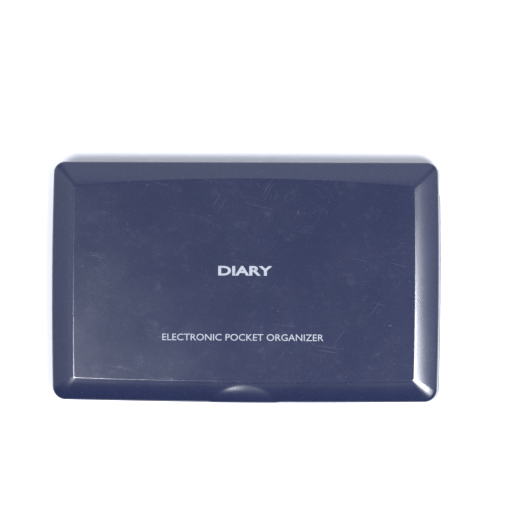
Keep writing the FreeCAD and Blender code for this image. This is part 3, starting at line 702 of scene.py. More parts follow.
def make_scratch_group() -> bpy.types.NodeTree:
    """Hairline scratches in several directions and faint scuffed patches."""
    group, tree, start, end = shader_group(
        "scratches",
        {"Vector": ("Vector", None), "Amount": ("Float", 1.0), "Scuff": ("Float", 1.0)},
        {"Lines": "Float", "Scuffs": "Float"},
    )
    where = start.outputs["Vector"]
    bend = tree.node("ShaderNodeTexNoise", {"Vector": where, "Scale": 14.0, "Detail": 1.0})
    sway = tree.scaled(bend.outputs["Color"], 0.012)
    swayed = tree.node("ShaderNodeVectorMath", {0: where, 1: sway}, operation="ADD").outputs[0]
    lines: object = 0.0
    # Turn, spacing of the lines across, run along, how rare they are and how strong.
    for turn, across, along, rarity, strength in (
        (0.08, 4200.0, 260.0, 0.745, 0.35),
        (-0.42, 4600.0, 260.0, 0.745, 0.35),
        (1.25, 4000.0, 240.0, 0.745, 0.35),
        (-0.95, 4200.0, 200.0, 0.75, 0.35),
        (0.60, 3400.0, 75.0, 0.775, 0.8),
        (-1.35, 3000.0, 60.0, 0.785, 0.8),
    ):
        stretched = tree.mapping(tree.mapping(swayed, turn=turn), (across, along, 1.0), shift=(turn, turn, 0))
        streaks = tree.noise(stretched, 1.0, 0.0)
        lines = tree.plus(lines, tree.remap(streaks, rarity, rarity + 0.05, 0.0, strength))
    nicks = tree.remap(tree.noise(where, 900.0, 0.0), 0.83, 0.88)
    lines = tree.plus(lines, nicks)
    patch = tree.remap(tree.noise(where, 38.0, 2.0), 0.36, 0.62)
    fine = tree.times(lines, tree.times(patch, start.outputs["Amount"]))
    rub = tree.remap(tree.noise(tree.mapping(where, (1.0, 1.4, 1.0), 0.4), 170.0, 8.0, 0.8), 0.52, 0.78)
    rub = tree.times(rub, start.outputs["Scuff"])
    tree.supply(end.inputs["Lines"], tree.maths("MINIMUM", fine, 1.0))
    tree.supply(end.inputs["Scuffs"], tree.maths("MINIMUM", rub, 1.0))
    return group


class ShaderKit:
    """The node groups that more than one finish uses, each built once."""

    def __init__(self) -> None:
        """Builds the groups."""
        self.grain = make_grain_group()
        self.scratches = make_scratch_group()


@dataclass
class MaterialDraft:
    """A material under construction."""

    name: str
    material: bpy.types.Material = field(init=False)
    tree: Tree = field(init=False)
    shader: bpy.types.Node = field(init=False)
    where: bpy.types.NodeSocket = field(init=False)

    def __post_init__(self) -> None:
        """Starts the node tree with a Principled shader and object coordinates."""
        self.material = bpy.data.materials.new(self.name)
        self.material.use_nodes = True
        self.tree = Tree(self.material.node_tree)
        self.shader = next(n for n in self.tree.tree.nodes if n.type == "BSDF_PRINCIPLED")
        self.where = self.tree.node("ShaderNodeTexCoord").outputs["Object"]

    def group(self, tree: bpy.types.NodeTree, **values: object) -> bpy.types.Node:
        """Places a node group with its own values."""
        return self.tree.node("ShaderNodeGroup", {"Vector": self.where, **values}, node_tree=tree)

    def feed(self, socket: str, value: object) -> None:
        """Sets or links one of the shader's sockets."""
        self.tree.supply(self.shader.inputs[socket], value)

    def bump(self, height: object, distance: float) -> None:
        """Feeds the shader's normal from a height."""
        settings = {"Height": height, "Distance": distance, "Strength": 1.0}
        self.feed("Normal", self.tree.node("ShaderNodeBump", settings).outputs[0])


def shade(colour: Colour, factor: float) -> tuple[float, float, float, float]:
    """A colour made lighter or darker, with full opacity."""
    return (colour[0] * factor, colour[1] * factor, colour[2] * factor, 1.0)


@dataclass(frozen=True)
class Finish:
    """The look of one kind of surface."""

    name: str

    def mix(self, draft: MaterialDraft, kit: ShaderKit) -> None:
        """Lays the nodes of the finish."""
        raise NotImplementedError

    def build(self, kit: ShaderKit) -> bpy.types.Material:
        """The finish as a material."""
        draft = MaterialDraft(self.name)
        self.mix(draft, kit)
        return draft.material


@dataclass(frozen=True)
class MouldedPlastic(Finish):
    """Injection-moulded plastic with fine grain, hairline scratches and scuffs."""

    colour: Colour
    roughness: float = 0.16
    gloss: float = 0.7
    grain_scale: float = 2500.0
    grain_depth: float = 0.004 * MM
    speckle: float = 0.4
    scratch: float = 0.0
    scuff: float = 0.0
    scratch_colour: Colour = (0.35, 0.38, 0.48)
    worn_above: float = -MM  # The marks fade out below this height.
    matt_below: float = 0.0  # Extra roughness below that height.

    def mix(self, draft: MaterialDraft, kit: ShaderKit) -> None:
        """Lays the nodes of the finish."""
        tree = draft.tree
        grain = draft.group(kit.grain, Scale=self.grain_scale, Speckle=self.speckle)
        marks = draft.group(kit.scratches, Amount=self.scratch, Scuff=self.scuff)
        plain = tree.scaled(self.colour, grain.outputs["Brightness"])
        level = tree.axis(draft.where, "Z")
        band = (self.worn_above, self.worn_above + 0.2 * MM)
        exposed = tree.remap(level, *band, 0.12, 1.0)
        lines, scuffs = (tree.times(marks.outputs[mark], exposed) for mark in ("Lines", "Scuffs"))
        pale = shade(self.scratch_colour, 1.0)
        scratched = tree.blend(tree.times(lines, 0.07), plain, pale)
        draft.feed("Base Color", tree.blend(tree.times(scuffs, 0.03), scratched, pale))
        draft.feed("Specular IOR Level", self.gloss)
        cloud = tree.noise(draft.where, 60.0, 4.0, 0.6)
        spread = tree.remap(cloud, 0.3, 0.7, self.roughness - 0.01, self.roughness + 0.015)
        rough = tree.plus(spread, tree.times(scuffs, 0.05))
        if self.matt_below:
            rough = tree.plus(rough, tree.remap(level, *band, self.matt_below, 0.0))
        draft.feed("Roughness", rough)
        height = tree.maths("SUBTRACT", grain.outputs["Height"], tree.times(lines, 0.8))
        draft.bump(height, self.grain_depth)


@dataclass(frozen=True)
class PrintedInk(Finish):
    """Thin printed lettering, a little uneven and worn."""

    colour: Colour
    wear: float = 0.15

    def mix(self, draft: MaterialDraft, kit: ShaderKit) -> None:
        """Lays the nodes of the finish."""
        tree = draft.tree
        grain = draft.group(kit.grain, Scale=1800.0, Speckle=0.1)
        worn = tree.remap(tree.noise(draft.where, 900.0, 3.0, 0.7), 0.5, 0.75, 0.0, self.wear)
        draft.feed("Base Color", tree.blend(worn, shade(self.colour, 1.0), shade(self.colour, 0.35)))
        draft.feed("Roughness", tree.remap(worn, 0.0, 1.0, 0.5, 0.7))
        draft.bump(grain.outputs["Height"], 0.005 * MM)


@dataclass(frozen=True)
class SoftRubber(Finish):
    """Silicone rubber: matt, faintly dusty, with a fine satin bloom."""

    colour: Colour
    roughness: float = 0.55
    dust: float = 0.12

    def mix(self, draft: MaterialDraft, kit: ShaderKit) -> None:
        """Lays the nodes of the finish."""
        tree = draft.tree
        grain = draft.group(kit.grain, Scale=5200.0, Speckle=0.25)
        base = tree.scaled(self.colour, grain.outputs["Brightness"])
        dust = tree.remap(tree.noise(draft.where, 420.0, 5.0, 0.65), 0.48, 0.78, 0.0, self.dust)
        draft.feed("Base Color", tree.blend(dust, base, (0.45, 0.45, 0.46, 1.0)))
        draft.feed("Roughness", tree.plus(self.roughness, tree.times(dust, 0.8)))
        draft.bump(grain.outputs["Height"], 0.01 * MM)


@dataclass(frozen=True)
class PlatedMetal(Finish):
    """Plated or brushed metal with lines along one direction and a few stains."""

    colour: Colour
    roughness: float = 0.28
    lines: tuple[float, float, float] = (300.0, 9000.0, 9000.0)

    def mix(self, draft: MaterialDraft, kit: ShaderKit) -> None:
        """Lays the nodes of the finish."""
        tree = draft.tree
        grain = draft.group(kit.grain, Scale=3500.0, Speckle=0.1)
        streak = tree.noise(tree.mapping(draft.where, self.lines), 1.0, 3.0, 0.6)
        stain = tree.remap(tree.noise(draft.where, 260.0, 4.0, 0.6), 0.52, 0.75)
        bright = tree.remap(streak, 0.2, 0.8, 0.85, 1.1)
        base = tree.scaled(self.colour, bright)
        draft.feed("Base Color", tree.blend(tree.times(stain, 0.3), base, shade(self.colour, 0.6)))
        draft.feed("Metallic", 1.0)
        rough = tree.remap(streak, 0.2, 0.8, self.roughness - 0.07, self.roughness + 0.1)
        draft.feed("Roughness", tree.plus(rough, tree.times(stain, 0.12)))
        height = tree.plus(streak, tree.times(grain.outputs["Height"], 0.3))
        draft.bump(height, 0.004 * MM)


@dataclass(frozen=True)
class PrintedFilm(Finish):
    """Film or board with printed tracks and pads."""

    colour: Colour
    track: Colour
    spacing: float
    slant: float = 0.0
    pads: float = 0.0
    roughness: float = 0.35

    def mix(self, draft: MaterialDraft, kit: ShaderKit) -> None:
        """Lays the nodes of the finish."""
        tree = draft.tree
        grain = draft.group(kit.grain, Scale=2600.0, Speckle=0.2)
        step = 1.0 / self.spacing
        where = tree.mapping(draft.where, (step, step, step), self.slant)
        bend = tree.noise(draft.where, 70.0, 0.0)
        across = tree.plus(tree.axis(where, "Y"), tree.times(tree.maths("SNAP", bend, 0.12), 6.0))
        tracks = tree.remap(tree.maths("PINGPONG", across, 0.5), 0.27, 0.33)
        cells = tree.node("ShaderNodeTexVoronoi", {"Vector": where, "Scale": 0.5, "Randomness": 0.35})
        spots = tree.times(tree.remap(cells.outputs["Distance"], 0.2, 0.24, 1.0, 0.0), self.pads)
        marks = tree.maths("MAXIMUM", tracks, spots)
        base = tree.scaled(self.colour, grain.outputs["Brightness"])
        draft.feed("Base Color", tree.blend(marks, base, shade(self.track, 1.0)))
        rough = tree.remap(grain.outputs["Height"], 0.2, 1.0, self.roughness - 0.08, self.roughness + 0.1)
        draft.feed("Roughness", rough)
        draft.bump(tree.plus(marks, tree.times(grain.outputs["Height"], 0.1)), 0.02 * MM)


@dataclass(frozen=True)
class LiquidCrystal(Finish):
    """A reflective grey-green liquid crystal panel with its faint dot grid."""

    colour: Colour
    pitch: float = 0.48 * MM

    def mix(self, draft: MaterialDraft, kit: ShaderKit) -> None:
        """Lays the nodes of the finish."""
        tree = draft.tree
        grain = draft.group(kit.grain, Scale=4200.0, Speckle=0.5)
        step = 1.0 / self.pitch
        where = tree.mapping(draft.where, (step, step, step))
        apart = tree.node("ShaderNodeSeparateXYZ", {0: where}).outputs
        columns, rows = (tree.remap(tree.maths("PINGPONG", apart[a], 0.5), 0.03, 0.08) for a in "XY")
        base = tree.scaled(self.colour, grain.outputs["Brightness"])
        draft.feed("Base Color", tree.blend(tree.times(columns, rows), base, tree.scaled(base, 0.9)))
        draft.feed("Roughness", tree.remap(grain.outputs["Height"], 0.2, 1.0, 0.2, 0.34))
        draft.bump(grain.outputs["Height"], 0.002 * MM)


@dataclass(frozen=True)
class ClearPane(Finish):
    """Clear acrylic with hairline scratches."""

    clear: Colour = (0.96, 0.98, 0.97)
    hazy: Colour = (0.9, 0.92, 0.92)

    def mix(self, draft: MaterialDraft, kit: ShaderKit) -> None:
        """Lays the nodes of the finish."""
        tree = draft.tree
        marks = draft.group(kit.scratches, Amount=0.5, Scuff=0.3)
        draft.feed("Base Color", tree.blend(marks.outputs["Scuffs"], (*self.clear, 1.0), (*self.hazy, 1.0)))
        draft.feed("Transmission Weight", 1.0)
        draft.feed("IOR", 1.49)
        draft.feed("Roughness", tree.remap(marks.outputs["Lines"], 0.0, 1.0, 0.02, 0.2))
        draft.bump(marks.outputs["Lines"], 0.001 * MM)


# ---- lid --------------------------------------------------------------------------


@dataclass
class LidShell:
    """The outer lid: walls, a convex bevel up to the flat panel, thumb scoop and hinge knuckles."""

    low: Vector
    high: Vector
    axis: Vector
    wall_bottom: float = 7.5 * MM
    bevel_height: float = 2.6 * MM
    wall: float = 1.3 * MM
    edge_radius: float = 0.75 * MM
    edge_drop: float = 0.55 * MM
    bevel_width: float = 7.0 * MM
    panel_inset: float = 7.5 * MM
    lip_bulge: float = 0.22 * MM
    lip_half_width: float = 13.0 * MM
    knuckle_radius: float = 3.85 * MM
    knuckle_inner: float = 49.8 * MM
    hood_edge: float = 10.4 * MM
    hood_clearance: float = 3.98 * MM
    cavity_edge: float = 10.6 * MM
    ceiling: float = 12.7 * MM
    ink_room: float = 0.02 * MM
    screw_x: float = 57.0 * MM
    screw_rows: tuple[float, float] = (-32.0 * MM, 25.0 * MM)
    boss_radius: float = 1.9 * MM
    boss_low: float = 9.3 * MM
    bore_radius: float = 0.75 * MM
    bore_top: float = 11.65 * MM
    lip_reach: float = 10.2 * MM
    lip_depth: float = 5.6 * MM
    lip_height: float = 0.62 * MM
    lip_softness: float = 0.01
    front_crispness: float = 0.75

    def __post_init__(self) -> None:
        """Works out the outlines from the lid's box."""
        half_width, half_depth = self.high.x, self.high.y
        self.crown = self.high.z - self.ink_room
        self.outline = BowedOutline(
            half_width, half_depth - self.lip_bulge, half_depth, 1.4, 4.1, 30.0, 4.3 * MM, 3.8 * MM
        )
        self.panel = BowedOutline(
            half_width - self.panel_inset, 32.2 * MM, 33.75 * MM, 1.7, 1.8, 0.6, 0.7 * MM, 0.7 * MM
        )
        self.shares = (even(22), even(44), even(22), gathered(150, 0.72), even(12))

    def ring(self, outline: BowedOutline, height: float) -> Ring:
        """One ring of an outline."""
        return outline.ring(height, self.shares)

    def bevel(self, share: float) -> float:
        """Height of the bevel, with a rounded outer edge.

        Args:
            share: Way from the outer edge, 0, to the panel, 1.

        Returns:
            The height.
        """
        left = 1.0 - share
        height = self.crown - self.bevel_height * (0.5 * left + 0.5 * left * left)
        reach = min(1.0, share * self.bevel_width / self.edge_radius)
        return height - self.edge_drop * (1.0 - math.sqrt(1.0 - (1.0 - reach) ** 2))

    def _outer_rings(self) -> list[Ring]:
        """Rings of the outer skin, from the rim to the panel."""
        edge = self.ring(self.outline, 0.0)
        inner = self.ring(self.panel, 0.0)
        rim = self.ring(self.outline.inset(0.15 * MM), self.wall_bottom)
        top = self.bevel(0.0)
        rings = [rim]
        walls = (8.6, 9.6, 10.1, 10.4, 10.65)
        for height in (self.wall_bottom + 0.15 * MM, *(wall * MM for wall in walls), top):
            rings.append([Vector((p.x, p.y, height)) for p in edge])
        near = [0.02, 0.06, 0.12, 0.2, 0.32, 0.46, 0.62, 0.8, 1.0]
        shares = [share * self.edge_radius / self.bevel_width for share in near]
        shares += [shares[-1] + (0.965 - shares[-1]) * step / 22 for step in range(1, 23)]
        for share in (*shares, 0.975):
            height = self.bevel(share)
            rings.append([Vector((*a.lerp(b, share).xy, height)) for a, b in zip(edge, inner)])
        for share, drop in ((0.985, 0.004), (1.0, 0.002), (1.03, 0.0), (1.08, 0.0)):
            rings.append([self._crease(a, b, share, drop * MM) for a, b in zip(edge, inner)])
        return rings

    def _crease(self, outer: Vector, inner: Vector, share: float, drop: float) -> Vector:
        """A point near the panel's edge, which is crisper along the front.

        Args:
            outer: The bevel's outer point.
            inner: The point on the panel's edge.
            share: Way from the outer point to the panel's edge.
            drop: Least depth below the panel's level.

        Returns:
            The point.
        """
        front = ramp(-inner.y, 31.0 * MM, 1.5 * MM)
        share = 1.0 + (share - 1.0) * (1.0 - self.front_crispness * front)
        height = min(self.bevel(min(share, 1.0)), self.crown - drop)
        return Vector((*outer.lerp(inner, share).xy, height))

    def _bulge(self, point: Vector) -> None:
        """Pushes the front edge out round the thumb scoop."""
        near = 1.0 - min(1.0, abs(point.x) / self.lip_half_width)
        front = ramp(-point.y, 30.0 * MM, 8.0 * MM)
        rise = min(1.0, near * 4.0)
        point.y -= self.lip_bulge * rise * rise * (3.0 - 2.0 * rise) * front

    def _thumb_lip(self, point: Vector) -> None:
        """Raises a low rounded lip on the front bevel, where a thumb opens the lid."""
        across, run = point.x / self.lip_reach, (point.y + self.high.y) / self.lip_depth
        rise = 1.0 - across * across - run * run
        soft = 0.5 * (rise + math.sqrt(rise * rise + self.lip_softness))
        skin = ramp(point.z, 10.2 * MM, 0.5 * MM)
        if rise > -2.0:
            point.z += self.lip_height * soft * skin

    def build(self, name: str) -> bpy.types.Object:
        """The whole lid shell as one closed piece."""
        rings = self._outer_rings()
        for ring in rings:
            for point in ring:
                self._bulge(point)
                self._thumb_lip(point)
        shell = loft(name, rings)
        inner, ceiling = self.outline.inset(self.wall), self.panel.inset(0.6 * MM)
        coarse = (even(8), even(24), even(8), even(24), even(6))
        levels = ((inner, self.wall_bottom - self.wall), (inner, self.cavity_edge), (ceiling, self.ceiling))
        combine(shell, [loft("cavity", [line.ring(height, coarse) for line, height in levels])])
        points = [(side * self.screw_x, row) for side in (-1, 1) for row in self.screw_rows]
        top = self.ceiling + 0.3 * MM
        boss = ((self.boss_radius, self.boss_low), (self.boss_radius, top))
        bore = ((self.bore_radius, 9 * MM), (self.bore_radius, self.bore_top))
        bosses = [turned("boss", at, boss, 32) for at in points]
        bores = [turned("bore", at, bore, 24) for at in points]
        combine(shell, [gather("bosses", bosses), *self._knuckles()], "UNION")
        combine(shell, [gather("bores", bores)])
        return smooth(without_flaps(combine(shell, self._openings())), 28.0)

    def _knuckles(self) -> list[bpy.types.Object]:
        """The two end knuckles, trimmed to the case."""
        knuckles = []
        for side in (-1, 1):
            middle = side * (self.knuckle_inner + self.high.x) / 2
            centre = Vector((middle, self.axis.y, self.axis.z))
            length = self.high.x - self.knuckle_inner
            knuckle = rod(f"knuckle_{side}", centre, ACROSS, self.knuckle_radius, length, 96)
            coarse = (even(8), even(24), even(8), even(24), even(16))
            limit = self.outline.inset(0.08 * MM)
            trim = loft("trim", [limit.ring(z, coarse) for z in (2.0 * MM, 11.0 * MM)])
            knuckles.append(combine(knuckle, [trim], "INTERSECT"))
        return knuckles

    def _openings(self) -> list[bpy.types.Object]:
        """Cutters for the room round the barrel, its pins and the ribbon."""
        inner = self.knuckle_inner
        room = rod("room", self.axis, ACROSS, self.hood_clearance, 2 * inner, 96)
        rear = self.high.y + self.wall
        gap = block("gap", (-inner, self.high.y - 8.0 * MM, 3.0 * MM), (inner, rear, self.hood_edge))
        bores = []
        for reach, radius in ((58.05 * MM, 1.05 * MM), (-51.55 * MM, 2.45 * MM), (-57.8 * MM, 1.7 * MM)):
            start = math.copysign(inner - MM, reach)
            centre = Vector(((start + reach) / 2, self.axis.y, self.axis.z))
            bores.append(rod("bore", centre, ACROSS, radius, abs(reach - start), 48))
        slot_top = (-53.2 * MM, self.axis.y, self.axis.z + 1.7 * MM)
        return [room, gap, *bores, block("slot", (-57.8 * MM, 31.2 * MM, 8.3 * MM), slot_top)]


# ---- base -------------------------------------------------------------------------


@dataclass
class BaseTray:
    """The bottom case: a bevelled tray with its openings, bosses and battery bay."""

    low: Vector
    high: Vector
    door_low: Vector
    door_high: Vector
    rim: float = 7.3 * MM
    wall: float = 1.3 * MM
    floor: float = 1.6 * MM
    bevel: float = 3.2 * MM
    gap: float = 0.15 * MM
    bay_wall: float = 0.9 * MM
    bay_top: float = 4.7 * MM
    screw_x: float = 57.0 * MM
    screw_rows: tuple[float, float] = (-32.0 * MM, 25.0 * MM)
    foot_x: float = 47.0 * MM
    foot_rows: tuple[float, float] = (-31.0 * MM, 23.0 * MM)
    foot_radius: float = 3.5 * MM
    foot_depth: float = 0.7 * MM
    boss_radius: float = 2.4 * MM
    boss_top: float = 4.75 * MM
    bore_top: float = 5.4 * MM
    bore_radius: float = MM
    head_radius: float = 1.9 * MM
    sound: tuple[float, float] = (46.0 * MM, 4.0 * MM)
    sound_pitch: float = 2.2 * MM
    reset: tuple[float, float] = (44.0 * MM, -22.0 * MM)
    jack: tuple[float, float] = (8.9 * MM, 5.05 * MM)
    jack_radius: float = 1.8 * MM
    sound_radii: tuple[float, float] = (0.62 * MM, 0.5 * MM)
    reset_radii: tuple[float, float] = (1.5 * MM, 1.25 * MM)
    neck_half: float = 49.5 * MM

    def _edge_profile(self) -> list[tuple[float, float]]:
        """Inset and height of the outer skin, with soft bevel edges."""
        lower = ((4.1, 0.0), (3.5, 0.05), (3.1, 0.22), (0.42, 2.5), (0.16, 2.85), (0.03, 3.3), (0.0, 3.8))
        upper = ((0.0, 0.18), (0.05, 0.05), (0.18, 0.0))
        rings = [(inset * MM, self.low.z + rise * MM) for inset, rise in lower]
        return rings + [(inset * MM, self.rim - drop * MM) for inset, drop in upper]

    def build(self, name: str) -> bpy.types.Object:
        """The tray as one closed piece."""
        front = -self.low.y - 0.012 * MM
        outline = BowedOutline(self.high.x, front, self.high.y, 1.4, 2.85, 30.0, 4.3 * MM, 3.8 * MM)
        shares = (even(16), even(32), even(16), even(40), even(10))
        tray = loft(name, [outline.inset(i).ring(z, shares) for i, z in self._edge_profile()])
        hollow = ((self.bevel + 1.0 * MM, self.floor), (self.wall, self.bevel), (self.wall, 14 * MM))
        combine(tray, [loft("hollow", [outline.inset(i).ring(z, shares) for i, z in hollow])])
        bay_low = self.door_low - Vector((1, 1, 0)) * (self.gap + self.bay_wall)
        bay_high = self.door_high + Vector((1, 1, 0)) * (self.gap + self.bay_wall)
        inside = self.low.z + 0.1 * MM
        bay = block("bay", (bay_low.x, bay_low.y, inside), (bay_high.x, bay_high.y, self.bay_top))
        boss = ((self.boss_radius, inside), (self.boss_radius, self.boss_top))
        bosses = [turned("boss", at, boss) for at in self.screws()]
        combine(tray, [gather("inner", [bay, *bosses])], "UNION")
        combine(tray, self._openings())
        return smooth(tray, 26.0)

    def screws(self) -> list[tuple[float, float]]:
        """Where the case screws stand."""
        return [(side * self.screw_x, row) for side in (-1, 1) for row in self.screw_rows]

    def _openings(self) -> list[bpy.types.Object]:
        """Cutters, gathered so that none in a group overlaps another."""
        under, over = -1.0 * MM, self.floor + 0.3 * MM
        size = (self.door_high - self.door_low).xy + Vector((2, 2)) * self.gap
        middle = (self.door_high + self.door_low).xy / 2
        wide = [slab("door_hole", middle, size, 0.75 * MM, ((0, under), (0, 9 * MM)))]
        head = ((self.head_radius, under), (self.head_radius, self.floor))
        wide += [turned("recess", at, head) for at in self.screws()]
        for side in (-1, 1):
            for row in self.foot_rows:
                at = (side * self.foot_x, row)
                recess = ((self.foot_radius, under), (self.foot_radius, self.foot_depth))
                wide.append(turned("foot_recess", at, recess))
        for right, forward in ((0, 0), (1, 0), (-1, 0), (0, 1), (0, -1)):
            at = (self.sound[0] + right * self.sound_pitch, self.sound[1] + forward * self.sound_pitch)
            wide_part, narrow_part = self.sound_radii
            flare = ((wide_part, under), (wide_part, 0.4 * MM), (narrow_part, 0.52 * MM), (narrow_part, over))
            wide.append(turned("sound_hole", at, flare, 24))
        mouth, throat = self.reset_radii
        rim = ((mouth, under), (mouth, 0.4 * MM), (throat, 0.65 * MM), (throat, over))
        wide.append(turned("reset_hole", self.reset, rim))
        jack = Vector((-self.high.x, *self.jack))
        wide.append(rod("jack_hole", jack, ACROSS, self.jack_radius, 2.8 * MM, 48))
        rear = self.high.y - self.wall - self.gap
        neck = block("neck", (-self.neck_half, rear, 5.1 * MM), (self.neck_half, 39 * MM, 7.35 * MM))
        bore = ((self.bore_radius, 1.0 * MM), (self.bore_radius, self.bore_top))
        narrow = [turned("bore", at, bore, 24) for at in self.screws()]
        return [gather("wide", [*wide, neck]), gather("narrow", narrow)]


@dataclass
class BatteryDoor:
    """The lift-off door under the cells, with a ribbed thumb rest and an arrow."""

    low: Vector
    high: Vector
    corner: float = 0.6 * MM
    rest_size: tuple[float, float] = (13.0 * MM, 8.2 * MM)
    rest_x: float = 24.0 * MM
    rest_depth: float = 0.34 * MM
    arrow_depth: float = 0.35 * MM
    ribs: int = 6

    def build(self, plastic: bpy.types.Material, tree: bpy.types.NodeTree) -> list[bpy.types.Object]:
        """The door and its ribs.

        Args:
            plastic: Finish of the ribs.
            tree: The node tree that sets the ribs out.

        Returns:
            The door and the ribs.
        """
        middle, size = (self.low + self.high).xy / 2, (self.high - self.low).xy
        z = self.low.z
        edge = ((0.22 * MM, z), (0.06 * MM, z + 0.06 * MM), (0, z + 0.2 * MM), (0, self.high.z))
        door = slab("battery_cover", middle, size, self.corner, edge)
        rest = (self.rest_x, middle.y)
        hollow = ((-0.3 * MM, z - 0.3 * MM), (0, z), (self.rest_depth, z + self.rest_depth))
        pocket = slab("pocket", rest, self.rest_size, 1.4 * MM, hollow)
        tip = Vector((self.rest_x - 11.5 * MM, middle.y, 0))
        shape = [tip + Vector(offset) * MM for offset in ((-2.8, 0, 0), (1.2, -2.4, 0), (1.2, 2.4, 0))]
        levels = (z - MM, z + self.arrow_depth)
        arrow = loft("arrow", [[point + Vector((0, 0, level)) for point in shape] for level in levels])
        combine(door, [pocket, arrow])
        rise = ((0.16 * MM, z + 0.03 * MM), (0.03 * MM, z + 0.12 * MM), (0, z + self.rest_depth + 0.1 * MM))
        rib_size = (0.7 * MM, self.rest_size[1] - 2.0 * MM)
        rib = smooth(slab("battery_cover_ribs", (0, 0), rib_size, 0.34 * MM, rise, 3))
        spread = self.rest_size[0] - 3.4 * MM
        Pattern(spread, 0.0, self.ribs, 1, (*rest, 0.0)).lay(rib, tree, plastic)
        return [smooth(door, 12.0), rib]


class CellKind(Enum):
    """The two sets of coin cells: name of the piece, CAD node that it replaces and where they lie."""

    MAIN = ("main_coin_cells", "main_cells", (-22.0, 0.0))
    BACKUP = ("backup_coin_cell", "backup_cell", (22.0,))


@dataclass
class CoinCells:
    """Coin cells: a rolled steel can, a dark gasket and a raised cap."""

    steel: bpy.types.Material
    gasket: bpy.types.Material
    row: float = -15.0 * MM
    radius: float = 10.0 * MM
    low: float = 1.5 * MM
    high: float = 4.7 * MM

    def build(self, kind: CellKind) -> bpy.types.Object:
        """The cells of one kind, as one piece."""
        name, _, columns = kind.value
        parts = []
        low, high, r = self.low, self.high, self.radius
        foot = [(r - inset * MM, low + rise * MM) for inset, rise in ((0.55, 0.02), (0.2, 0.12), (0.0, 0.45))]
        shoulder = ((0.0, 0.9), (0.12, 0.55), (0.5, 0.38), (1.0, 0.45))
        top = [(r - inset * MM, high - drop * MM) for inset, drop in shoulder]
        can = [(7.6 * MM, low + 0.04 * MM), *foot, *top, (8.7 * MM, high - 0.9 * MM)]
        seal, cap = (
            [(radius * MM, high - drop * MM) for radius, drop in rings]
            for rings in (
                ((8.68, 0.92), (8.68, 0.4), (8.5, 0.3)), ((8.5, 0.9), (8.45, 0.16), (8.25, 0.03), (7.9, 0.0))
            )
        )
        for column in columns:
            x, y = column * MM, self.row
            for part, rings, metal in (("can", can, True), ("seal", seal, False), ("cap", cap, True)):
                piece = smooth(turned(part, (x, y), rings, 72))
                parts.append((piece, self.steel if metal else self.gasket))
            marks = (Word("+", x, y + 4.6 * MM, 5.0 * MM), Word("3V", x, y - 4.0 * MM, 4.0 * MM))
            parts.append((print_words("mark", marks, low + 0.05 * MM, 0.04 * MM, True), self.gasket))
        return merge(name, parts)


# ---- keys -------------------------------------------------------------------------


class KeyTone(Enum):
    """Colours of the rubber keys, by the short name of their finish."""

    LETTER = "key"
    FUNCTION = "function"
    POWER = "power"


LEGENDS = {"delete": "DEL", "left": "", "right": "", "calculator": "CALC"}


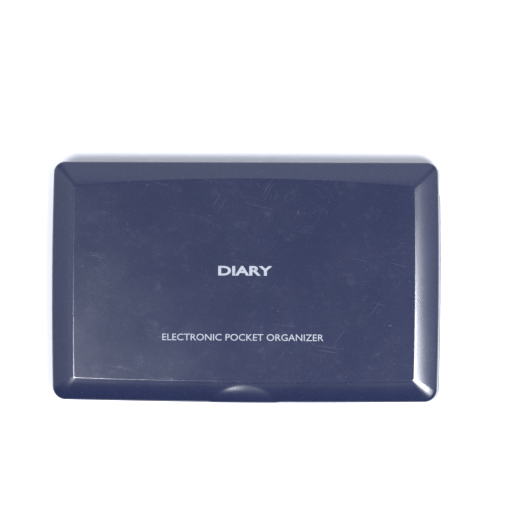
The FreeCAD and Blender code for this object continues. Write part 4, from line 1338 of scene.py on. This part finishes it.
@dataclass
class KeyMoulder:
    """Moulds rubber keys with a dished top and a printed legend."""

    rubbers: dict[KeyTone, bpy.types.Material]
    ink: bpy.types.Material
    margin: float = 0.5 * MM
    corner: float = 1.1 * MM
    flange: float = 0.3 * MM
    dish: float = 0.13 * MM
    print_height: float = 0.035 * MM
    letter: float = 3.1 * MM
    word: float = 2.5 * MM

    def _profile(self, low: float, high: float, foot: float, half: float) -> list[tuple[float, float]]:
        """Inset and height of a key's rings, from the foot to the middle of the dish."""
        cap = self.margin
        edge = ((0.02, 0.55), (0.08, 0.24), (0.24, 0.07), (0.46, 0.0), (0.8, 0.02))
        return [
            (0.0, low),
            (0.0, low + foot),
            (cap, low + foot),
            *((cap + inset * MM, high - drop * MM) for inset, drop in edge),
            (cap + 1.3 * MM, high - 0.6 * self.dish),
            (min(cap + 1.9 * MM, half - 0.3 * MM), high - self.dish),
        ]

    def key(self, name: str, low: Vector, high: Vector) -> bpy.types.Object:
        """One key of the keyboard.

        Args:
            name: The key's name.
            low: Lowest corner of its space.
            high: Highest corner of its space.

        Returns:
            The key with its legend.
        """
        middle, size = (low + high).xy / 2, (high - low).xy
        profile = self._profile(low.z, high.z, self.flange, min(size) / 2)
        cap = smooth(slab("cap", middle, size, self.corner + self.margin / 2, profile), 40.0)
        text = LEGENDS.get(name, name.upper())
        tone = KeyTone.LETTER if len(name) == 1 else KeyTone.POWER if name == "on" else KeyTone.FUNCTION
        level = high.z - self.dish - 0.012 * MM
        if text:
            tall = self.letter if len(text) == 1 else self.word
            width = 5.4 * MM if name in ("delete", "enter") else 0.0
            word = Word(text, *middle, tall, width, 0.04 * MM)
            legend = print_words("legend", [word], level, self.print_height)
        else:
            legend = self._arrow(middle, -1.0 if name == "left" else 1.0, level)
        return merge(f"rubber_{name}", [(cap, self.rubbers[tone]), (legend, self.ink)])

    def _arrow(self, middle: Vector, side: float, level: float) -> bpy.types.Object:
        """A printed triangle that points left or right."""
        corners = [(1.3, 0.0), (-0.9, 1.15), (-0.9, -1.15)]
        shape = [(middle.x + side * x * MM, middle.y + y * MM) for x, y in corners]
        if side < 0:
            shape.reverse()
        levels = (level, level + self.print_height)
        return loft("legend", [[Vector((x, y, height)) for x, y in shape] for height in levels])

    def mode_key(self, name: str, low: Vector, high: Vector) -> bpy.types.Object:
        """One of the lid's keys, whose face points down when the lid is shut.

        Args:
            name: The key's name.
            low: Lowest corner of its space.
            high: Highest corner of its space.

        Returns:
            The key with its legend.
        """
        middle, size = (low + high).xy / 2, (high - low).xy
        foot, top = 9.35 * MM, 9.75 * MM
        rising = [(i, low.z + high.z - z) for i, z in self._profile(low.z, high.z, 0.0, min(size) / 2)]
        skin = [(i, z) for i, z in reversed(rising) if z < foot]
        skin += [(self.margin, foot), (0.0, foot), (0.0, top), (self.margin * 3, top)]
        cap = slab("cap", middle, size, self.corner + self.margin / 2, skin)
        stem = turned("stem", middle, ((1.5 * MM, 9.6 * MM), (1.5 * MM, high.z)), 24)
        smooth(combine(cap, [stem], "UNION"), 40.0)
        text = LEGENDS.get(name, name.upper())
        level = low.z + self.dish + 0.012 * MM
        legend = print_words("legend", [Word(text, *middle, 2.3 * MM)], level, self.print_height, True)
        return merge(f"lid_rubber_{name}", [(cap, self.rubbers[KeyTone.FUNCTION]), (legend, self.ink)])


# ---- display ----------------------------------------------------------------------


@dataclass
class Display:
    """What lies behind the window: pane, printed mask, liquid crystal panel and its text."""

    window: tuple[Vector, Vector]
    glass: tuple[Vector, Vector]
    view: tuple[float, float] = (84.0 * MM, 30.0 * MM)
    corner: float = 2.0 * MM
    mask_gap: float = 0.02 * MM
    segment: float = 0.008 * MM

    def pane(self) -> bpy.types.Object:
        """The clear window with a small chamfer round its face."""
        low, high = self.window
        edge = ((0.3 * MM, low.z), (0.0, low.z + 0.25 * MM), (0.0, high.z))
        return smooth(slab("window_pane", (low + high).xy / 2, (high - low).xy, self.corner, edge))

    def mask(self) -> bpy.types.Object:
        """The dark frame printed behind the pane."""
        low, high = self.window
        middle, size = (low + high).xy / 2, (high - low).xy - Vector((0.4, 0.4)) * MM
        level = high.z + self.mask_gap
        frame = slab("window_mask", middle, size, self.corner, ((0, level), (0, level + 0.05 * MM)))
        hole = slab("hole", middle, self.view, 0.8 * MM, ((0, level - MM), (0, level + MM)))
        return smooth(combine(frame, [hole]))

    def crystal(self) -> bpy.types.Object:
        """Two glass plates, the nearer one smaller."""
        low, high = self.glass
        middle, size = (low + high).xy / 2, (high - low).xy
        step = (low.z + high.z) / 2
        rings = (
            (1.6 * MM, low.z), (1.5 * MM, low.z + 0.1 * MM), (1.5 * MM, step), (0.1 * MM, step),
            (0.0, step + 0.1 * MM), (0.0, high.z - 0.1 * MM), (0.1 * MM, high.z),
        )
        return smooth(slab("liquid_crystal", middle, size, 0.5 * MM, rings))

    def text(self) -> bpy.types.Object:
        """What the display shows: a clock line and a ruled page."""
        low, _ = self.glass
        middle = (self.window[0] + self.window[1]).xy / 2
        left = middle.x
        words = [
            Word("MON 12", left - 27 * MM, middle.y - 9.6 * MM, 5.0 * MM, 22 * MM),
            Word("10:45", left + 27 * MM, middle.y - 9.6 * MM, 7.0 * MM, 20 * MM, 0.1 * MM),
            Word("09:30  MEETING", left - 12 * MM, middle.y + 0.4 * MM, 4.4 * MM, 46 * MM),
            Word("14:00  CALL BACK", left - 10 * MM, middle.y + 8.2 * MM, 4.4 * MM, 50 * MM),
        ]
        level = low.z - 0.003 * MM
        rule_low = (left - 40 * MM, middle.y - 4.6 * MM, level - self.segment)
        rule = block("rule", rule_low, (left + 40 * MM, middle.y - 4.3 * MM, level))
        return gather("display_segments", [print_words("segments", words, level, self.segment, True), rule])


# ---- hinge and fasteners ----------------------------------------------------------


@dataclass
class Ribbon:
    """The printed film that joins the two boards: it rolls on the hinge axis."""

    axis: Vector
    roll: float = 1.4 * MM
    film: float = 0.25 * MM
    base_span: tuple[float, float] = (-43.0 * MM, -33.0 * MM)
    lid_span: tuple[float, float] = (-57.5 * MM, -53.5 * MM)
    base_front: float = 26.6 * MM
    base_level: float = 5.9 * MM
    lid_level: float = 8.6 * MM
    riser: float = 30.4 * MM
    board: float = 11.6 * MM
    base_board: float = 5.4 * MM
    lap: float = 0.01 * MM
    flats: int = 32
    stations: int = 40

    def _tube(self) -> bpy.types.Object:
        """The rolled stretch, divided along its length."""
        left, right = self.lid_span[0], self.base_span[1]
        outer, inner = self.roll, self.roll - self.film
        shares = [step / self.stations for step in range(self.stations + 1)]
        path = [(outer, left, share) for share in shares] + [(inner, right, -share) for share in shares]
        shape = bmesh.new()
        rings = []
        for radius, start, share in path:
            x = start + (right - left) * share
            ring = [(x, self.axis.y + radius * a, self.axis.z + radius * b) for a, b in circle(self.flats)]
            rings.append([shape.verts.new(point) for point in ring])
        for first, second in zip(rings, rings[1:] + rings[:1]):
            bridge(shape, first, second)
        bmesh.ops.recalc_face_normals(shape, faces=shape.faces)
        return set_down("tube", shape)

    def build(self, name: str) -> bpy.types.Object:
        """The whole ribbon as one piece."""
        film, lap, reach = self.film, self.lap, self.axis.y - self.roll * 0.6
        front, riser, low, high = self.base_front, self.riser, self.base_level, self.lid_level
        boxes = {
            "tail": (self.base_span, (front, reach), (low, low + film)),
            "step": (self.base_span, (front, front + film), (self.base_board, low + lap)),
            "lid_tail": (self.lid_span, (riser, reach), (high, high + film)),
            "riser": (self.lid_span, (riser, riser + film), (high + lap, self.board)),
        }
        flat = [block(part, *zip(*spans)) for part, spans in boxes.items()]
        return smooth(gather(name, [self._tube(), *flat]))


@dataclass(frozen=True)
class Fastener:
    """A small round piece, modelled at the origin: a screw head or a foot."""

    name: str
    profile: tuple[tuple[float, float], ...]
    cross: float = 0.0
    cross_depth: float = 0.0

    def build(self) -> bpy.types.Object:
        """The piece, with a cross recess in its underside where it has one."""
        scaled = [(radius * MM, height * MM) for radius, height in self.profile]
        piece = turned(self.name, (0, 0), scaled, 40)
        if self.cross:
            low, reach, half = scaled[0][1], self.cross * MM, 0.16 * MM
            top = low + self.cross_depth * MM
            for x, y in ((reach, half), (half, reach)):
                combine(piece, [block("bar", (-x, -y, low - MM), (x, y, top))])
        return smooth(piece)


# ---- studio -----------------------------------------------------------------------


@dataclass
class Studio:
    """Pale floor, soft lights and the camera."""

    centre: Vector
    aim: tuple[float, float] = (3.8 * MM, 8.6 * MM)
    distance: float = 2.05
    tilt: float = 7.0
    roll: float = 0.28
    lens: float = 443.0
    floor_size: float = 3.0
    air_front: float = 0.03
    air_corner: float = 0.35
    air_rear: float = 1.15
    air_overhead: float = 0.26
    air_colour: Colour = (0.93, 0.98, 1.14)
    lamp_height: float = 0.56
    lamp_colour: Colour = (0.97, 0.99, 1.06)

    def floor(self) -> bpy.types.Object:
        """The pale ground."""
        half = self.floor_size / 2
        mesh = bpy.data.meshes.new("studio_floor")
        corners = [(-half, -half, 0), (half, -half, 0), (half, half, 0), (-half, half, 0)]
        mesh.from_pydata(corners, [], [(0, 1, 2, 3)])
        ground = link("studio_floor", mesh)
        draft = MaterialDraft("studio_paper")
        cloud = draft.tree.noise(draft.where, 12.0, 3.0)
        draft.feed("Base Color", draft.tree.blend(cloud, (0.9, 0.9, 0.9, 1), (0.93, 0.93, 0.93, 1)))
        draft.feed("Roughness", 0.9)
        mesh.materials.append(draft.material)
        return ground

    def lamp(self, name: str, bearing: float, reach: float, size: tuple[float, float], power: float) -> None:
        """A soft rectangular light that hangs level and shines down.

        Args:
            name: Name of the light.
            bearing: Its direction from the middle, in degrees from +X.
            reach: How far out it hangs.
            size: Its length along that direction and across it.
            power: Watts.
        """
        light = bpy.data.lights.new(name, "AREA")
        light.shape = "RECTANGLE"
        light.size, light.size_y = size
        light.energy = power
        light.color = self.lamp_colour
        lamp = link(name, light)
        turn = math.radians(bearing)
        lamp.location = (reach * math.cos(turn), reach * math.sin(turn), self.lamp_height)
        lamp.rotation_euler = (0.0, 0.0, turn)

    def camera(self) -> None:
        """The camera, almost straight above and a little to the right."""
        lens = bpy.data.cameras.new("camera")
        lens.lens = self.lens
        lens.sensor_width = 36.0
        eye = link("camera", lens)
        tilt = math.radians(self.tilt)
        direction = Vector((math.sin(tilt), 0.0, math.cos(tilt)))
        turn = Matrix.Rotation(tilt, 4, "Y") @ Matrix.Rotation(math.radians(self.roll), 4, "Z")
        target = self.centre + Vector((*self.aim, 0.0))
        eye.matrix_world = Matrix.Translation(target + direction * self.distance) @ turn
        bpy.context.scene.camera = eye

    def build(self) -> None:
        """The whole studio."""
        self.floor()
        self.camera()
        self.air()
        bpy.context.scene.view_settings.view_transform = "Standard"
        self.lamp("left_softbox", 212.0, 0.245, (0.12, 0.19), 2.6)
        self.lamp("right_softbox", -34.5, 0.312, (0.34, 0.24), 7.2)

    def air(self) -> None:
        """Soft room light: bright behind and beside the object, darker in front and overhead."""
        world = bpy.data.worlds.new("studio_air")
        world.use_nodes = True
        tree = Tree(world.node_tree)
        direction = tree.node("ShaderNodeTexCoord").outputs["Generated"]
        parts = tree.node("ShaderNodeSeparateXYZ", {0: direction}).outputs
        depth = tree.remap(parts["Y"], -0.35, 0.15, self.air_front, self.air_rear)
        across = tree.maths("ABSOLUTE", tree.times(parts["X"], parts["Y"]))
        level = tree.maths("SUBTRACT", 1.0, tree.times(parts["Z"], parts["Z"]))
        corner = tree.maths("DIVIDE", across, tree.maths("MAXIMUM", level, 0.001))
        depth = tree.times(depth, tree.remap(corner, 0.40, 0.5, 1.0, self.air_corner))
        overhead = tree.remap(parts["Z"], 0.85, 0.99)
        shares = {0: overhead, 2: depth, 3: self.air_overhead}
        brightness = tree.node("ShaderNodeMix", shares, data_type="FLOAT").outputs[0]
        back = next(n for n in world.node_tree.nodes if n.type == "BACKGROUND")
        tree.supply(back.inputs["Strength"], brightness)
        tree.supply(back.inputs["Color"], (*self.air_colour, 1.0))
        bpy.context.scene.world = world


# ---- assembly ---------------------------------------------------------------------


def dress(thing: bpy.types.Object, material: bpy.types.Material) -> bpy.types.Object:
    """Gives a whole piece one material."""
    thing.data.materials.clear()
    thing.data.materials.append(material)
    return thing


def mount(thing: bpy.types.Object, body: str, slot: str, stands_for: Sequence[str] = ()) -> None:
    """Hangs a finished piece on its body.

    Args:
        thing: The piece.
        body: Body that it moves with.
        slot: Name of a material slot; not used.
        stands_for: CAD nodes that it is shown instead of.
    """
    if stands_for:
        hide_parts(*stands_for)
    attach(thing, body)
    LOG.info("%s rides on %s: %d faces", thing.name, body, len(thing.data.polygons))


class Organiser:
    """The whole object: builds every piece and hangs it on the frame."""

    def __init__(self, frame: dict) -> None:
        """Keeps the frame and mixes the finishes."""
        self.nodes = frame["nodes"]
        hinge = next(joint for joint in frame["joints"] if joint["name"] == "lid_hinge")
        self.axis = Vector(hinge["pos_m"])
        self.kit = ShaderKit()
        self.pattern = make_pattern_tree()
        mix = {
            "navy": MouldedPlastic(
                "navy_plastic",
                (0.0100, 0.0136, 0.0370),
                scratch=1.0,
                scuff=1.0,
                speckle=0.9,
                worn_above=13.72 * MM,
                matt_below=0.06,
            ),
            "navy_under": MouldedPlastic(
                "navy_underside", (0.0090, 0.0122, 0.0330), 0.34, scratch=0.35, scuff=0.5
            ),
            "plate": MouldedPlastic(
                "grey_plate", (0.055, 0.06, 0.07), 0.36, 0.5, grain_depth=0.012 * MM, scratch=0.15, scuff=0.1
            ),
            "key": SoftRubber("key_rubber", (0.028, 0.032, 0.05)),
            "function": SoftRubber("function_rubber", (0.075, 0.085, 0.11)),
            "power": SoftRubber("power_rubber", (0.2, 0.03, 0.03)),
            "foot": SoftRubber("foot_rubber", (0.012, 0.012, 0.013), 0.7, 0.05),
            "steel": PlatedMetal("plated_steel", (0.55, 0.54, 0.52)),
            "screw": PlatedMetal("black_zinc", (0.09, 0.09, 0.1), 0.4),
            "brass": PlatedMetal("contact_brass", (0.72, 0.52, 0.22), 0.25),
            "gasket": SoftRubber("cell_gasket", (0.015, 0.015, 0.016), 0.5, 0.05),
            "board": PrintedFilm(
                "circuit_board", (0.01, 0.09, 0.035), (0.02, 0.16, 0.06), 1.1 * MM, pads=0.4
            ),
            "sheet": PrintedFilm(
                "keypad_sheet_film", (0.5, 0.5, 0.47), (0.12, 0.12, 0.12), 3.0 * MM, slant=0.3, pads=0.6
            ),
            "film": PrintedFilm("ribbon_film", (0.06, 0.022, 0.006), (0.11, 0.05, 0.015), 0.9 * MM),
            "chip": MouldedPlastic("chip_resin", (0.012, 0.012, 0.013), 0.5, 0.4, grain_depth=0.01 * MM),
            "crystal": LiquidCrystal("display_crystal", (0.27, 0.31, 0.24)),
            "pane": ClearPane("clear_pane"),
            "mask": PrintedInk("mask_ink", (0.012, 0.013, 0.016), 0.3),
            "ink": PrintedInk("legend_ink", (0.42, 0.44, 0.47)),
            "case_ink": PrintedInk("case_ink", (0.235, 0.25, 0.28), 0.6),
            "segment": PrintedInk("segment_ink", (0.02, 0.025, 0.035), 0.05),
        }
        self.finish = {name: finish.build(self.kit) for name, finish in mix.items()}

    def hang(self, thing: bpy.types.Object, look: str, body: str, slot: str, *stands_for: str) -> None:
        """Gives a piece its finish and hangs it on its body."""
        mount(dress(thing, self.finish[look]), body, slot, stands_for)

    def carry_over(self) -> None:
        """Gives every CAD part that stays in view its own finish."""
        looks = {
            "plate": ("keyboard_bezel", "display_bezel"),
            "board": ("main_board", "display_board"),
            "chip": ("board_chips", "data_jack"),
            "sheet": ("keypad_sheet",),
            "brass": ("cell_contacts", "buzzer"),
            "navy_under": ("hinge_barrel",),
            "steel": ("hinge_pins",),
            "function": ("reset_button",),
            "screw": ("lid_screws", "case_screws"),
        }
        found = {name: look for look, names in looks.items() for name in names}
        for name, node in self.nodes.items():
            dress(node, self.finish[found.get(name, "navy")])

    def case(self) -> None:
        """The lid, the tray and the battery door."""
        lid = LidShell(*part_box("lid_shell"), self.axis).build("lid_cover")
        self.hang(lid, "navy", "lid", "navy_case", "lid_shell")
        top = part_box("lid_shell")[1].z
        words = [
            Word("DIARY", 0.2 * MM, 3.6 * MM, 4.2 * MM, 17.7 * MM, 0.13 * MM),
            Word("ELECTRONIC POCKET ORGANIZER", -0.3 * MM, -18.0 * MM, 3.1 * MM, 52.8 * MM),
        ]
        ink = 0.06 * MM
        self.hang(print_words("lid_print", words, top - ink, ink), "case_ink", "lid", "navy_case")
        tray = BaseTray(*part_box("bottom_case"), *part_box("battery_door")).build("base_tray")
        self.hang(tray, "navy_under", "base", "navy_case", "bottom_case")
        door, ribs = BatteryDoor(*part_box("battery_door")).build(self.finish["navy_under"], self.pattern)
        self.hang(door, "navy_under", "battery_door", "navy_case", "battery_door")
        mount(ribs, "battery_door", "navy_case")

    def power(self) -> None:
        """The coin cells."""
        cells = CoinCells(self.finish["steel"], self.finish["gasket"])
        for kind in CellKind:
            mount(cells.build(kind), "base", "steel", [kind.value[1]])

    def keyboard(self) -> None:
        """Every rubber key and the printing on the keyboard plate."""
        rubbers = {tone: self.finish[tone.value] for tone in KeyTone}
        moulder = KeyMoulder(rubbers, self.finish["ink"])
        for node in self.nodes:
            if node.startswith("key_"):
                mount(moulder.key(node[4:], *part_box(node)), node, "key_rubber", [node])
            elif node.startswith("mode_key_"):
                mount(moulder.mode_key(node[9:], *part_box(node)), node, "key_rubber", [node])
        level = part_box("keyboard_bezel")[1].z
        words = []
        for column, (upper, lower) in enumerate(zip("1234567890", "+-x/=.()%*")):
            x = (-51.3 + 11.4 * column) * MM
            words.append(Word(upper, x, 20.7 * MM, 2.3 * MM))
            words.append(Word(lower, x, 8.7 * MM, 2.3 * MM))
        words.append(Word("ELECTRONIC ORGANIZER", 0.0, 26.0 * MM, 2.6 * MM, 42 * MM))
        words.append(Word("COPY", -22.8 * MM, -15.4 * MM, 1.9 * MM))
        lettering = print_words("keyboard_print", words, level - 0.01 * MM, 0.03 * MM)
        self.hang(lettering, "ink", "base", "grey_plate")

    def display(self) -> None:
        """The window, its mask and the liquid crystal panel."""
        display = Display(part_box("display_window"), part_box("lcd_panel"))
        self.hang(display.pane(), "pane", "lid", "clear_window", "display_window")
        self.hang(display.mask(), "mask", "lid", "display_glass")
        self.hang(display.crystal(), "crystal", "lid", "display_glass", "lcd_panel")
        self.hang(display.text(), "segment", "lid", "display_glass")
        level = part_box("display_bezel")[0].z
        labels = {"SCHEDULE": -38, "CLOCK": 0, "NOTES": 38}
        words = [Word(text, x * MM, -31.0 * MM, 2.2 * MM) for text, x in labels.items()]
        lettering = print_words("display_print", words, level + 0.01 * MM, 0.03 * MM, True)
        self.hang(lettering, "ink", "lid", "grey_plate")

    def hinge(self) -> None:
        """The ribbon inside the hinge."""
        ribbon = dress(Ribbon(self.axis).build("hinge_ribbon"), self.finish["film"])
        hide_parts("hinge_flex")
        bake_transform(ribbon)
        LOG.info("%s twists between base and lid", ribbon.name)

    def fasteners(self) -> None:
        """Feet and screws, each modelled once and set out on its grid."""
        sole = ((2.9, 0.0), (3.2, 0.04), (3.42, 0.16), (3.46, 0.3), (3.46, 0.7))
        shank = ((0.85, 1.6), (0.85, 6.1), (0.3, 6.2))
        head = ((1.35, 0.62), (1.62, 0.68), (1.76, 0.86), (1.8, 1.1), (1.8, 1.6), *shank)
        lid_shank = ((0.7, 8.95), (0.7, 11.5), (0.25, 11.6))
        lid_head = ((1.2, 8.27), (1.45, 8.33), (1.57, 8.46), (1.6, 8.95), *lid_shank)
        feet = Pattern(94 * MM, 54 * MM, 2, 2, (0, -4 * MM, 0))
        screws = Pattern(114 * MM, 57 * MM, 2, 2, (0, -3.5 * MM, 0), 1.5, 3)
        sets = (
            (Fastener("rubber_foot_set", sole), feet, "foot", "base", "foot_rubber", "rubber_feet"),
            (Fastener("case_screw_set", head, 1.05, 0.7), screws, "screw", "base", "steel", "case_screws"),
            (
                Fastener("lid_screw_set", lid_head, 0.95, 0.45), replace(screws, seed=5), "screw", "lid",
                "steel", "lid_screws",
            ),
        )
        for fastener, pattern, look, body, slot, node in sets:
            piece = pattern.lay(fastener.build(), self.pattern, self.finish[look])
            mount(piece, body, slot, [node])

    def build(self) -> None:
        """Every piece in order."""
        self.carry_over()
        self.case()
        self.power()
        self.keyboard()
        self.display()
        self.hinge()
        self.fasteners()


def main() -> None:
    """Builds every piece around the frame."""
    logging.basicConfig(level=logging.INFO, format="%(name)s: %(message)s")
    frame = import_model()
    Organiser(frame).build()
    Studio(Vector((0.0, 0.0, 0.012))).build()


if __name__ == "__main__":
    main()
